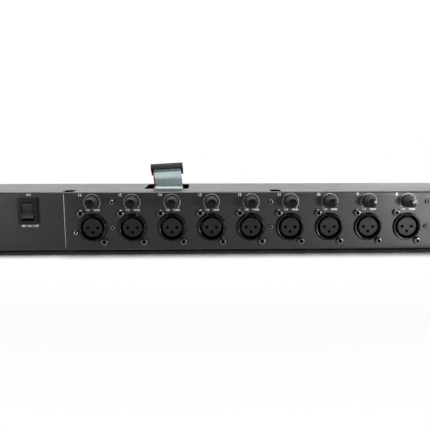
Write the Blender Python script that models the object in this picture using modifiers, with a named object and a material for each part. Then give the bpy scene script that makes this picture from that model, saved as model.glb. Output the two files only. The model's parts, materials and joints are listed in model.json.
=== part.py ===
"""Ten-channel microphone preamp: a long sheet-metal case with sockets, trim knobs and a ribbon lead.

Units are metres and +Z is up. The origin is the middle of the case's bottom face. The front panel,
with its sockets and knobs, faces -Y. Channels are numbered 16 down to 7 from left to right.
Most pieces are modelled in panel space: x to the right, y the depth behind the panel's outer face
and z the height, with the piece's own axis along y.
"""

import math

import bmesh
import bpy
from mathutils import Matrix, Vector

MM = 0.001
# Clearance between pieces that touch or run in each other on the real product.
GAP = 0.3 * MM
# How far shapes that are joined into one solid reach into each other.
OVERLAP = 0.5 * MM
# How far a cutter runs past the wall that it cuts.
REACH = 2 * MM
# Points of a turned profile this near the axis become one.
WELD = 0.01 * MM
SMOOTH_ANGLE = math.radians(35)

# Sides of the round pieces
BEZEL_SIDES = 20
INSERT_SIDES = 16
KNOB_SIDES = 16
SMALL_SIDES = 8
HOLE_SIDES = 24

# Fasteners: the head's straight side and its flat crown, as shares of its height and radius
HEAD_SIDE = 0.55
HEAD_CROWN = 0.72
SMALL_HEAD_RADIUS = 2.7 * MM
SMALL_HEAD_HEIGHT = 1.7 * MM
SMALL_SCREW_RADIUS = 1.4 * MM
SMALL_SCREW_LENGTH = 5 * MM
RIVET_HEAD_RADIUS = 2.3 * MM
RIVET_HEAD_HEIGHT = 1.1 * MM
RIVET_RADIUS = 1.6 * MM

# Case: its width and height follow from the panel's layout
CASE_DEPTH = 72 * MM
SHEET = 1.5 * MM
BEND_RADIUS = 1.6 * MM
BEND_STEPS = 3
LEFT_SECTION = 113 * MM
RIGHT_MARGIN = 21.82 * MM
LIP_WIDTH = 9 * MM
COVER_THICKNESS = 1.2 * MM
COVER_INSET = 0.3 * MM
COVER_CLEARANCE = 0.4 * MM
COVER_SCREW_END_MARGIN = 26 * MM

# Socket: the screws stand on a rectangle, and the bezel, bore and insert follow inwards from them
CHANNEL_NUMBERS = range(16, 6, -1)
EAR_X = 9.5 * MM
EAR_Z = 12 * MM
EAR_RADIUS = 3.4 * MM
EAR_THICKNESS = 2.2 * MM
EAR_FLOOR_CLEARANCE = 2.3 * MM
SOCKET_SPACING = 7.22 * MM
SOCKET_SCREW_HEAD_RADIUS = 3.1 * MM
SOCKET_SCREW_HEAD_HEIGHT = 2.2 * MM
SOCKET_SCREW_RADIUS = 1.5 * MM
BEZEL_SCREW_CLEARANCE = 0.605 * MM
BEZEL_PROUD = 1.6 * MM
BEZEL_ROUND = 0.7 * MM
BEZEL_WALL = 2 * MM
BORE_DEPTH = 14 * MM
PLUG_GAP = 1.7 * MM
INSERT_PROUD = 0.8 * MM
INSERT_CHAMFER = 0.5 * MM
INSERT_BOSS_RADIUS = 6 * MM
CONTACT_CIRCLE_RADIUS = 4 * MM
CONTACT_HOLE_RADIUS = 1.3 * MM
CONTACT_HOLE_DEPTH = 11 * MM
LATCH_TOP_WIDTH = 6.8 * MM
LATCH_FOOT_WIDTH = 3.2 * MM
LATCH_HEIGHT = 2.2 * MM
LATCH_LENGTH = 12.9 * MM
LATCH_PROUD = 0.3 * MM
LATCH_TRAVEL = 1.5 * MM

# Trim knob with its shaft, and the potentiometer body that the shaft turns in
KNOB_BACK_RADIUS = 5.3 * MM
KNOB_FACE_RADIUS = 3.8 * MM
KNOB_STANDOFF = 1 * MM
KNOB_LENGTH = 9.5 * MM
KNOB_EDGE = 0.5 * MM
SHAFT_RADIUS = 3 * MM
SHAFT_HOLE_CLEARANCE = 0.5 * MM
POINTER_WIDTH = 0.9 * MM
POINTER_LENGTH = 3.2 * MM
POINTER_DEPTH = 0.5 * MM
POT_WIDTH = 9.6 * MM
POT_HEIGHT = 10.6 * MM
POT_DEPTH = 7 * MM
POT_BORE_DEPTH = 4 * MM
POT_SOCKET_CLEARANCE = 4.4 * MM
POT_TOP_CLEARANCE = 1.7 * MM

# Circuit board behind the sockets, with the parts soldered to its rear
BOARD_DEPTH = 22 * MM
BOARD_THICKNESS = 1.6 * MM
BOARD_END_MARGIN = 9 * MM
BOARD_EDGE_GAP = 1.5 * MM
CHIP_WIDTH = 9.5 * MM
CHIP_HEIGHT = 6.4 * MM
CHIP_DEPTH = 3.5 * MM
CHIP_ABOVE_SOCKET = 14.8 * MM
CAPACITOR_RADIUS = 3.2 * MM
CAPACITOR_LENGTH = 11 * MM
CAPACITOR_BELOW_SOCKET = 5.2 * MM
CAPACITOR_OFFSET = 8 * MM

# Brackets riveted to the panel after these channels, counted from the left; each carries the board
BRACKET_AFTER_CHANNEL = {"left": 0, "middle": 4, "right": 8}
BRACKET_CLEARANCE = 0.61 * MM
BRACKET_SHEET = 1.2 * MM
BRACKET_OVERHANG = 5.4 * MM

# Earth screw beside the first socket
EARTH_SCREW_CLEARANCE = 0.3 * MM
EARTH_SCREW_ANGLE = math.radians(196)

# Rocker switch, placed from the first channel and from the case's top
SWITCH_X = -52.4 * MM
SWITCH_TOP_MARGIN = 5.1 * MM
SWITCH_BEZEL_LIP = 1.1 * MM
SWITCH_BEZEL_PROUD = 2 * MM
SWITCH_BEZEL_ROUND = 0.6 * MM
SWITCH_BEZEL_ROUND_STEPS = 2
SWITCH_SIDE_WALL = 1.2 * MM
SWITCH_END_WALL = 1.4 * MM
SWITCH_CAN_DEPTH = 14 * MM
SWITCH_WELL_DEPTH = 9 * MM
ROCKER_WIDTH = 9.8 * MM
ROCKER_HALF_LENGTH = 6.9 * MM
ROCKER_END_CLEARANCE = 1.1 * MM
ROCKER_END_PROUD = 3.4 * MM
ROCKER_MIDDLE_PROUD = 1.6 * MM
ROCKER_BACK_DEPTH = 5.4 * MM
ROCKER_BACK_HALF_LENGTH = 2.6 * MM
ROCKER_SHOULDER_DEPTH = 1.5 * MM
ROCKER_PIVOT_DEPTH = 1 * MM
ROCKER_PIN_RADIUS = 1 * MM
ROCKER_PIN_REACH = 1 * MM
ROCKER_TILT = math.radians(12)
TERMINAL_WIDTH = 4.8 * MM
TERMINAL_THICKNESS = 0.8 * MM
TERMINAL_OFFSET = 4 * MM

# Ribbon lead, with its board connector and its free socket
RIBBON_WIDTH = 25 * MM
RIBBON_THICKNESS = 0.9 * MM
RIBBON_CHANNEL = 2
RIBBON_FROM_CHANNEL = -4.44 * MM
RIBBON_STATIONS = 44
HOUSING_END = 1.4 * MM
HOUSING_HEIGHT = 5.5 * MM
BOARD_CONNECTOR_DEPTH = 4.7 * MM
BOARD_CONNECTOR_SLOT = 2.1 * MM
BOARD_CONNECTOR_HEIGHT = 6 * MM
BOARD_CONNECTOR_ABOVE_SOCKET = 10.8 * MM
RIBBON_GRIP = 2.5 * MM
SOCKET_LEAN = math.radians(36)
SOCKET_ROLL = math.radians(3.3)
SOCKET_BODY_DEPTH = 8 * MM
SOCKET_COVER_DEPTH = 1.8 * MM
SOCKET_KEY_WIDTH = 4.4 * MM
SOCKET_KEY_HEIGHT = 0.9 * MM
# The ribbon's middle line: sideways, and behind and above where it passes the exit's front edge.
RIBBON_ROUTE = (
    (0, 0, -9.0 * MM),
    (0, 0, -3.0 * MM),
    (0, 0.1 * MM, 0.3 * MM),
    (0, 0.9 * MM, 1.5 * MM),
    (0, 2.7 * MM, 2.0 * MM),
    (0, 4.3 * MM, 2.6 * MM),
    (-0.1 * MM, 4.9 * MM, 4.2 * MM),
    (-0.4 * MM, 4.9 * MM, 7.0 * MM),
    (-0.8 * MM, 5.4 * MM, 9.7 * MM),
    (-1.3 * MM, 6.6 * MM, 12.1 * MM),
)
SOCKET_CENTRE = (-1.9 * MM, 11 * MM, 17.8 * MM)

# Openings in the top: the lead's exit, and two slots for hooks
EXIT_LEFT_MARGIN = 8.5 * MM
EXIT_RIGHT_MARGIN = 5.1 * MM
EXIT_FRONT_MARGIN = 1 * MM
EXIT_BACK_MARGIN = 6.5 * MM
LEFT_SLOT_X = -20 * MM
SLOT_FROM_BRACKET = 4.6 * MM
SLOT_WIDTH = 8.9 * MM
SLOT_LIP = 0.7 * MM
SLOT_BACK = 16 * MM

# What follows from the values above
SCREW_CIRCLE_RADIUS = math.hypot(EAR_X, EAR_Z)
BEZEL_RADIUS = SCREW_CIRCLE_RADIUS - SOCKET_SCREW_HEAD_RADIUS - BEZEL_SCREW_CLEARANCE
BORE_RADIUS = BEZEL_RADIUS - BEZEL_WALL
INSERT_RADIUS = BORE_RADIUS - PLUG_GAP
SOCKET_HALF_WIDTH = max(EAR_X + EAR_RADIUS, BEZEL_RADIUS)
CHANNEL_PITCH = 2 * SOCKET_HALF_WIDTH + SOCKET_SPACING
SOCKET_HEIGHT = SHEET + EAR_FLOOR_CLEARANCE + EAR_RADIUS + EAR_Z
KNOB_HEIGHT = SOCKET_HEIGHT + BEZEL_RADIUS + POT_SOCKET_CLEARANCE + POT_HEIGHT / 2
CASE_HEIGHT = KNOB_HEIGHT + POT_HEIGHT / 2 + POT_TOP_CLEARANCE + SHEET
CASE_WIDTH = LEFT_SECTION + (len(CHANNEL_NUMBERS) - 1) * CHANNEL_PITCH + RIGHT_MARGIN
FRONT = -CASE_DEPTH / 2
FIRST_X = -CASE_WIDTH / 2 + LEFT_SECTION
COVER_FACE = CASE_DEPTH - COVER_INSET
LIP_BACK = COVER_FACE - COVER_THICKNESS - GAP
BOARD_FRONT = BOARD_DEPTH - GAP
BOARD_BACK = BOARD_DEPTH + BOARD_THICKNESS
BRACKET_WIDTH = SOCKET_SPACING - 2 * BRACKET_CLEARANCE
EARTH_SCREW_RADIUS = BEZEL_RADIUS + SMALL_HEAD_RADIUS + EARTH_SCREW_CLEARANCE
ROCKER_END_LENGTH = ROCKER_HALF_LENGTH + ROCKER_END_CLEARANCE
SWITCH_CAN_WIDTH = ROCKER_WIDTH + 2 * (GAP + SWITCH_SIDE_WALL)
SWITCH_CAN_HEIGHT = 2 * (ROCKER_END_LENGTH + SWITCH_END_WALL)
SWITCH_BEZEL_WIDTH = SWITCH_CAN_WIDTH + 2 * SWITCH_BEZEL_LIP
SWITCH_BEZEL_HEIGHT = SWITCH_CAN_HEIGHT + 2 * SWITCH_BEZEL_LIP
SWITCH_HEIGHT = CASE_HEIGHT - SWITCH_TOP_MARGIN - SWITCH_BEZEL_HEIGHT / 2
HOUSING_WIDTH = RIBBON_WIDTH + 2 * (GAP + HOUSING_END)
RIBBON_X = RIBBON_CHANNEL * CHANNEL_PITCH + RIBBON_FROM_CHANNEL
RIBBON_DEPTH = BOARD_BACK + GAP + BOARD_CONNECTOR_SLOT
BOARD_CONNECTOR_FOOT = SOCKET_HEIGHT + BOARD_CONNECTOR_ABOVE_SOCKET
BOARD_CONNECTOR_TOP = BOARD_CONNECTOR_FOOT + BOARD_CONNECTOR_HEIGHT

PARTS = bpy.data.collections.new("microphone_preamp")
CUTTERS = bpy.data.collections.new("cutters")


def clear_scene():
    for obj in list(bpy.data.objects):
        bpy.data.objects.remove(obj)
    bpy.context.scene.collection.children.link(PARTS)
    bpy.context.scene.collection.children.link(CUTTERS)
    CUTTERS.hide_render = True


def panel(x, depth, height):
    """World place of a point given right of the first channel, behind the panel's face and above the base."""
    return Vector((FIRST_X + x, FRONT + depth, height))


def channel_offsets():
    """Each channel's number with its distance right of the first channel."""
    return [(number, index * CHANNEL_PITCH) for index, number in enumerate(CHANNEL_NUMBERS)]


def bracket_offsets():
    """Each bracket's name with its distance right of the first channel, midway between two channels."""
    return {name: (after + 0.5) * CHANNEL_PITCH for name, after in BRACKET_AFTER_CHANNEL.items()}


def earth_screw_spot():
    """The earth screw's distance right of the first channel, and its height."""
    x = EARTH_SCREW_RADIUS * math.cos(EARTH_SCREW_ANGLE)
    return x, SOCKET_HEIGHT + EARTH_SCREW_RADIUS * math.sin(EARTH_SCREW_ANGLE)


def exit_sides():
    """The left and right sides of the lead's exit, measured right of the first channel."""
    left = RIBBON_X - RIBBON_WIDTH / 2 - EXIT_LEFT_MARGIN
    return left, RIBBON_X + RIBBON_WIDTH / 2 + EXIT_RIGHT_MARGIN


# Shapes and tools

def material(name, colour, roughness, metallic=0.0):
    made = bpy.data.materials.new(name)
    made.use_nodes = True
    shader = made.node_tree.nodes["Principled BSDF"]
    shader.inputs["Base Color"].default_value = (*colour, 1)
    shader.inputs["Roughness"].default_value = roughness
    shader.inputs["Metallic"].default_value = metallic
    return made


def add_box(bm, low, high):
    size = Vector(high) - Vector(low)
    middle = (Vector(high) + Vector(low)) / 2
    bmesh.ops.create_cube(bm, size=1, matrix=Matrix.Translation(middle) @ Matrix.Diagonal((*size, 1)))


def add_rod(bm, radius, start, end, sides, axis="Y"):
    """A cylinder between two points that differ along one axis."""
    turn = Matrix.Rotation(math.pi / 2, 4, "X" if axis == "Y" else "Y")
    middle = (Vector(start) + Vector(end)) / 2
    bmesh.ops.create_cone(
        bm,
        cap_ends=True,
        segments=sides,
        radius1=radius,
        radius2=radius,
        depth=(Vector(end) - Vector(start)).length,
        matrix=Matrix.Translation(middle) @ turn,
    )


def shape(name, fill, collection=PARTS):
    """An object whose mesh is what fill adds to an empty one."""
    bm = bmesh.new()
    fill(bm)
    mesh = bpy.data.meshes.new(name)
    bm.to_mesh(mesh)
    bm.free()
    obj = bpy.data.objects.new(name, mesh)
    collection.objects.link(obj)
    return obj


def helper(name, fill):
    """A cutter, or a shape that is joined to a part."""
    obj = shape(name, fill, CUTTERS)
    obj.hide_render = True
    obj.display_type = "WIRE"
    return obj


def boolean(obj, other, operation):
    modifier = obj.modifiers.new(operation.lower(), "BOOLEAN")
    modifier.operation = operation
    modifier.solver = "EXACT"
    modifier.object = other


def cut(obj, cutter):
    boolean(obj, cutter, "DIFFERENCE")


def join(obj, other):
    boolean(obj, other, "UNION")


def turned(name, profile, sides, collection=PARTS, closed=False):
    """A profile of (radius, depth) points turned round the y axis.

    An open profile starts and ends on the axis. Seen with y to the right, it runs from the rear to the
    front along its outer side, so that the faces point out.
    """
    mesh = bpy.data.meshes.new(name)
    edges = [(i, i + 1) for i in range(len(profile) - 1)]
    if closed:
        edges.append((len(profile) - 1, 0))
    mesh.from_pydata([(radius, depth, 0) for radius, depth in profile], edges, [])
    obj = bpy.data.objects.new(name, mesh)
    collection.objects.link(obj)
    screw = obj.modifiers.new("turn", "SCREW")
    screw.axis = "Y"
    screw.angle = 2 * math.pi
    screw.steps = sides
    screw.render_steps = sides
    screw.use_merge_vertices = True
    screw.merge_threshold = WELD
    if collection is CUTTERS:
        obj.hide_render = True
        obj.display_type = "WIRE"
    return obj


def evaluated_mesh(obj):
    bpy.context.view_layer.update()
    graph = bpy.context.evaluated_depsgraph_get()
    return bpy.data.meshes.new_from_object(obj.evaluated_get(graph))


def baked(obj):
    """The mesh that the object's modifiers give, for copies that share it. The object is removed."""
    mesh = evaluated_mesh(obj)
    bpy.data.objects.remove(obj)
    mesh.shade_smooth()
    mesh.set_sharp_from_angle(angle=SMOOTH_ANGLE)
    return mesh


def outline(name, points, thickness, turn):
    """A flat straight-sided outline given a thickness, turned into place, as one welded mesh object."""
    curve = bpy.data.curves.new(name, "CURVE")
    curve.dimensions = "2D"
    curve.fill_mode = "BOTH"
    curve.extrude = thickness / 2
    spline = curve.splines.new("POLY")
    spline.points.add(len(points) - 1)
    for point, (x, y) in zip(spline.points, points):
        point.co = (x, y, 0, 1)
    spline.use_cyclic_u = True
    flat = bpy.data.objects.new(name, curve)
    PARTS.objects.link(flat)
    mesh = evaluated_mesh(flat)
    bpy.data.objects.remove(flat)
    bm = bmesh.new()
    bm.from_mesh(mesh)
    bmesh.ops.remove_doubles(bm, verts=bm.verts, dist=WELD)
    bmesh.ops.transform(bm, matrix=turn, verts=bm.verts)
    bmesh.ops.recalc_face_normals(bm, faces=bm.faces)
    bm.to_mesh(mesh)
    bm.free()
    obj = bpy.data.objects.new(name, mesh)
    PARTS.objects.link(obj)
    return obj


def paint(obj, finish):
    obj.data.materials.clear()
    obj.data.materials.append(finish)


def place(name, mesh, location, rotation=(0, 0, 0)):
    """A named copy of a shared mesh."""
    obj = bpy.data.objects.new(name, mesh)
    obj.location = location
    obj.rotation_euler = rotation
    PARTS.objects.link(obj)
    return obj


def pan_head_profile(head_radius, head_height, shank_radius, shank_end):
    """A pan-head fastener seen from the side: its head stands in front of depth 0, clear of the face."""
    return [
        (0, shank_end),
        (shank_radius, shank_end),
        (shank_radius, -GAP),
        (head_radius, -GAP),
        (head_radius, -GAP - HEAD_SIDE * head_height),
        (HEAD_CROWN * head_radius, -GAP - head_height),
        (0, -GAP - head_height),
    ]


# Case

def cover_screw_places():
    """World places of the rear cover's screws, on the cover's outer face."""
    end = CASE_WIDTH / 2 - COVER_SCREW_END_MARGIN
    lip_middle = SHEET + LIP_WIDTH / 2
    return [
        Vector((x, FRONT + COVER_FACE, z))
        for z in (lip_middle, CASE_HEIGHT - lip_middle)
        for x in (-end, 0, end)
    ]


def add_panel_holes(bm):
    """Every hole through the front panel, the top and the rear lips."""

    def through_panel(x, height, radius, sides):
        add_rod(bm, radius, panel(x, -REACH, height), panel(x, SHEET + REACH, height), sides)

    for _, x in channel_offsets():
        through_panel(x, SOCKET_HEIGHT, BEZEL_RADIUS + GAP, HOLE_SIDES)
        through_panel(x, KNOB_HEIGHT, SHAFT_RADIUS + SHAFT_HOLE_CLEARANCE, KNOB_SIDES)
        for side in (-1, 1):
            screw_radius = SOCKET_SCREW_RADIUS + GAP
            through_panel(x + side * EAR_X, SOCKET_HEIGHT - side * EAR_Z, screw_radius, SMALL_SIDES)
    for x in bracket_offsets().values():
        for height in (SOCKET_HEIGHT, KNOB_HEIGHT):
            through_panel(x, height, RIVET_RADIUS + GAP, SMALL_SIDES)
    through_panel(*earth_screw_spot(), SMALL_SCREW_RADIUS + GAP, SMALL_SIDES)

    can = Vector((SWITCH_CAN_WIDTH / 2 + GAP, 0, SWITCH_CAN_HEIGHT / 2 + GAP))
    add_box(
        bm,
        panel(SWITCH_X, -REACH, SWITCH_HEIGHT) - can,
        panel(SWITCH_X, SHEET + REACH, SWITCH_HEIGHT) + can,
    )

    below, above = CASE_HEIGHT - SHEET - REACH, CASE_HEIGHT + REACH
    left, right = exit_sides()
    exit_front, exit_back = RIBBON_DEPTH - EXIT_FRONT_MARGIN, CASE_DEPTH - EXIT_BACK_MARGIN
    add_box(bm, panel(left, exit_front, below), panel(right, exit_back, above))
    for centre in (LEFT_SLOT_X, bracket_offsets()["middle"] + SLOT_FROM_BRACKET):
        left, right = centre - SLOT_WIDTH / 2, centre + SLOT_WIDTH / 2
        add_box(bm, panel(left, SHEET + SLOT_LIP, below), panel(right, SLOT_BACK, above))

    for spot in cover_screw_places():
        front_end = Vector((spot.x, FRONT + LIP_BACK - SHEET - REACH, spot.z))
        add_rod(bm, SMALL_SCREW_RADIUS + GAP, front_end, spot, SMALL_SIDES)


def make_chassis(finish):
    """The folded tray: panel, top, bottom and ends in one sheet, with lips that carry the rear cover."""
    half = CASE_WIDTH / 2

    def add_blank(bm):
        add_box(bm, (-half, FRONT, 0), (half, -FRONT, CASE_HEIGHT))
        rear = -FRONT - OVERLAP
        bends = [edge for edge in bm.edges if any(vertex.co.y < rear for vertex in edge.verts)]
        bmesh.ops.bevel(
            bm,
            geom=bends,
            offset=BEND_RADIUS,
            segments=BEND_STEPS,
            profile=0.5,
            affect="EDGES",
        )

    def inside(name, inset, front, back):
        low = (-half + inset, FRONT + front, inset)
        high = (half - inset, FRONT + back, CASE_HEIGHT - inset)
        return helper(name, lambda bm: add_box(bm, low, high))

    chassis = shape("chassis", add_blank)
    lip_front = LIP_BACK - SHEET
    cut(chassis, inside("cavity", SHEET, SHEET, lip_front))
    cut(chassis, inside("rear_opening", SHEET + LIP_WIDTH, lip_front - REACH, LIP_BACK + REACH))
    cut(chassis, inside("cover_recess", SHEET, LIP_BACK, CASE_DEPTH + REACH))
    cut(chassis, helper("panel_holes", add_panel_holes))
    paint(chassis, finish)


def make_rear_cover(finish):
    inset = SHEET + COVER_CLEARANCE
    half = CASE_WIDTH / 2 - inset
    cover = shape(
        "rear_cover",
        lambda bm: add_box(
            bm,
            (-half, FRONT + COVER_FACE - COVER_THICKNESS, inset),
            (half, FRONT + COVER_FACE, CASE_HEIGHT - inset),
        ),
    )

    def add_holes(bm):
        run = Vector((0, COVER_THICKNESS + REACH, 0))
        for spot in cover_screw_places():
            add_rod(bm, SMALL_SCREW_RADIUS + GAP, spot - run, spot + run, SMALL_SIDES)

    cut(cover, helper("cover_holes", add_holes))
    paint(cover, finish)


def make_small_screws(zinc, bright):
    profile = pan_head_profile(
        SMALL_HEAD_RADIUS, SMALL_HEAD_HEIGHT, SMALL_SCREW_RADIUS, SMALL_SCREW_LENGTH
    )
    for index, spot in enumerate(cover_screw_places(), start=1):
        screw = place(f"cover_screw_{index}", baked(turned("screw", profile, SMALL_SIDES)), spot)
        screw.rotation_euler.z = math.pi
        paint(screw, zinc)
    earth_x, earth_height = earth_screw_spot()
    earth = place(
        "earth_screw",
        baked(turned("screw", profile, SMALL_SIDES)),
        panel(earth_x, 0, earth_height),
    )
    paint(earth, bright)


# Sockets

def latch_points():
    """The latch tab's cross-section, wide at the top, with its top corners on the bezel's rim."""
    half_top, half_foot = LATCH_TOP_WIDTH / 2, LATCH_FOOT_WIDTH / 2
    top = math.sqrt(BEZEL_RADIUS**2 - half_top**2)
    foot = top - LATCH_HEIGHT
    return [(-half_foot, foot), (half_foot, foot), (half_top, top), (-half_top, top)]


def latch_slot_points():
    """The latch tab's outline with clearance at its sides, open to the bore below and to the rim above."""
    _, (half_foot, foot), (half_top, top), _ = latch_points()
    lean = (half_top - half_foot) / LATCH_HEIGHT
    half_low, half_high = half_foot - lean * OVERLAP + GAP, half_top + GAP
    low, high = foot - OVERLAP, BEZEL_RADIUS + REACH
    return [
        (-half_low, low),
        (half_low, low),
        (half_high, top),
        (half_high, high),
        (-half_high, high),
        (-half_high, top),
    ]


def along_depth(start, end):
    """Turns an outline's thickness along y, between two depths, with the outline's y up."""
    return Matrix.Translation((0, (start + end) / 2, 0)) @ Matrix.Rotation(math.pi / 2, 4, "X")


def socket_shell_mesh():
    """The black housing: bezel ring, bore, barrel and two ears, with the screws set in the ears.

    The two screws are part of this solid, because they stay in the ears when the socket is held.
    """
    rear = BOARD_FRONT
    boss_hole = INSERT_BOSS_RADIUS + GAP
    shell = turned(
        "socket_shell",
        [
            (boss_hole, BORE_DEPTH),
            (boss_hole, rear),
            (BEZEL_RADIUS, rear),
            (BEZEL_RADIUS, BEZEL_ROUND - BEZEL_PROUD),
            (BEZEL_RADIUS - BEZEL_ROUND, -BEZEL_PROUD),
            (BORE_RADIUS + BEZEL_ROUND, -BEZEL_PROUD),
            (BORE_RADIUS, BEZEL_ROUND - BEZEL_PROUD),
            (BORE_RADIUS, BORE_DEPTH),
        ],
        BEZEL_SIDES,
        closed=True,
    )
    ear_front = SHEET + GAP
    ear_back = ear_front + EAR_THICKNESS
    reach = math.hypot(EAR_X, EAR_Z)

    bar = helper(
        "ear_bar",
        lambda bm: add_box(bm, (-reach, ear_front, -EAR_RADIUS), (reach, ear_back, EAR_RADIUS)),
    )
    bar.rotation_euler.y = math.atan2(EAR_Z, EAR_X)
    middle_of_wall = (BORE_RADIUS + BEZEL_RADIUS) / 2
    wall_hole = helper(
        "ear_bar_hole",
        lambda bm: add_rod(
            bm, middle_of_wall, (0, ear_front - REACH, 0), (0, ear_back + REACH, 0), BEZEL_SIDES
        ),
    )
    cut(bar, wall_hole)
    join(shell, bar)
    for side in (-1, 1):
        ear = turned(
            "ear",
            [
                (0, ear_back),
                (EAR_RADIUS, ear_back),
                (EAR_RADIUS, ear_front),
                *pan_head_profile(
                    SOCKET_SCREW_HEAD_RADIUS,
                    SOCKET_SCREW_HEAD_HEIGHT,
                    SOCKET_SCREW_RADIUS,
                    ear_front,
                )[1:],
            ],
            SMALL_SIDES,
            CUTTERS,
        )
        ear.location = (side * EAR_X, 0, -side * EAR_Z)
        join(shell, ear)

    slot_front = -BEZEL_PROUD - REACH
    slot_back = LATCH_LENGTH - BEZEL_PROUD - LATCH_PROUD + LATCH_TRAVEL + OVERLAP
    slot = outline(
        "latch_slot", latch_slot_points(), slot_back - slot_front, along_depth(slot_front, slot_back)
    )
    cut(shell, slot)
    mesh = baked(shell)
    bpy.data.objects.remove(slot)
    return mesh


def insert_mesh():
    """The contact carrier: a round block with three contact holes and a boss through the shell's rear."""
    seat = BORE_DEPTH - GAP
    insert = turned(
        "insert",
        [
            (0, BOARD_FRONT - GAP),
            (INSERT_BOSS_RADIUS, BOARD_FRONT - GAP),
            (INSERT_BOSS_RADIUS, seat),
            (INSERT_RADIUS, seat),
            (INSERT_RADIUS, INSERT_CHAMFER - INSERT_PROUD),
            (INSERT_RADIUS - INSERT_CHAMFER, -INSERT_PROUD),
            (0, -INSERT_PROUD),
        ],
        INSERT_SIDES,
    )

    def add_contact_holes(bm):
        for x, z in ((-1, 0), (1, 0), (0, -1)):
            spot = Vector((x * CONTACT_CIRCLE_RADIUS, 0, z * CONTACT_CIRCLE_RADIUS))
            front, back = Vector((0, -INSERT_PROUD - REACH, 0)), Vector((0, CONTACT_HOLE_DEPTH, 0))
            add_rod(bm, CONTACT_HOLE_RADIUS, spot + front, spot + back, SMALL_SIDES)

    cut(insert, helper("contact_holes", add_contact_holes))
    return baked(insert)


def latch_mesh():
    front = -BEZEL_PROUD - LATCH_PROUD
    back = front + LATCH_LENGTH
    return baked(outline("latch", latch_points(), LATCH_LENGTH, along_depth(front, back)))


def knob_mesh():
    """The one-piece knob and shaft, with a sunk pointer line on its face that points up at rest."""
    back = -KNOB_STANDOFF
    face = back - KNOB_LENGTH
    shaft_end = BOARD_FRONT - POT_DEPTH + POT_BORE_DEPTH - GAP
    knob = turned(
        "knob",
        [
            (0, shaft_end),
            (SHAFT_RADIUS, shaft_end),
            (SHAFT_RADIUS, back),
            (KNOB_BACK_RADIUS, back),
            (KNOB_FACE_RADIUS, face + KNOB_EDGE),
            (KNOB_FACE_RADIUS - KNOB_EDGE, face),
            (0, face),
        ],
        KNOB_SIDES,
    )
    tip = KNOB_FACE_RADIUS + REACH
    pointer = helper(
        "pointer_line",
        lambda bm: add_box(
            bm,
            (-POINTER_WIDTH / 2, face - REACH, KNOB_FACE_RADIUS - POINTER_LENGTH),
            (POINTER_WIDTH / 2, face + POINTER_DEPTH, tip),
        ),
    )
    cut(knob, pointer)
    return baked(knob)


def make_channels(finishes):
    pieces = {
        "xlr_shell": (socket_shell_mesh(), SOCKET_HEIGHT, finishes["socket"]),
        "xlr_insert": (insert_mesh(), SOCKET_HEIGHT, finishes["insert"]),
        "xlr_latch": (latch_mesh(), SOCKET_HEIGHT, finishes["socket"]),
        "trim_knob": (knob_mesh(), KNOB_HEIGHT, finishes["knob"]),
    }
    for name, (mesh, height, finish) in pieces.items():
        for number, x in channel_offsets():
            paint(place(f"{name}_{number}", mesh, panel(x, 0, height)), finish)


# Inside

def make_board(finish):
    """The populated board: potentiometers on its front, chips and capacitors on its rear, soldered as one."""
    half = CASE_WIDTH / 2 - SHEET - BOARD_END_MARGIN
    edge = SHEET + BOARD_EDGE_GAP
    board = shape(
        "preamp_board",
        lambda bm: add_box(
            bm,
            (-half, FRONT + BOARD_DEPTH, edge),
            (half, FRONT + BOARD_BACK, CASE_HEIGHT - edge),
        ),
    )
    chip_height = SOCKET_HEIGHT + CHIP_ABOVE_SOCKET
    capacitor_height = SOCKET_HEIGHT - CAPACITOR_BELOW_SOCKET
    exit_left, exit_right = exit_sides()

    def add_components(bm):
        for _, x in channel_offsets():
            pot = Vector((POT_WIDTH / 2, 0, POT_HEIGHT / 2))
            pot_front = BOARD_FRONT - POT_DEPTH
            add_box(
                bm,
                panel(x, pot_front, KNOB_HEIGHT) - pot,
                panel(x, BOARD_DEPTH + OVERLAP, KNOB_HEIGHT) + pot,
            )
            if exit_left < x < exit_right:
                continue
            chip = Vector((CHIP_WIDTH / 2, 0, CHIP_HEIGHT / 2))
            add_box(
                bm,
                panel(x, BOARD_BACK - OVERLAP, chip_height) - chip,
                panel(x, BOARD_BACK + CHIP_DEPTH, chip_height) + chip,
            )
            for side in (-1, 1):
                spot = x + side * CAPACITOR_OFFSET
                add_rod(
                    bm,
                    CAPACITOR_RADIUS,
                    panel(spot, BOARD_BACK - OVERLAP, capacitor_height),
                    panel(spot, BOARD_BACK + CAPACITOR_LENGTH, capacitor_height),
                    SMALL_SIDES,
                )

    def add_shaft_bores(bm):
        for _, x in channel_offsets():
            front = BOARD_FRONT - POT_DEPTH
            add_rod(
                bm,
                SHAFT_RADIUS + GAP,
                panel(x, front - REACH, KNOB_HEIGHT),
                panel(x, front + POT_BORE_DEPTH, KNOB_HEIGHT),
                KNOB_SIDES,
            )

    join(board, helper("components", add_components))
    cut(board, helper("shaft_bores", add_shaft_bores))
    paint(board, finish)


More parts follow.
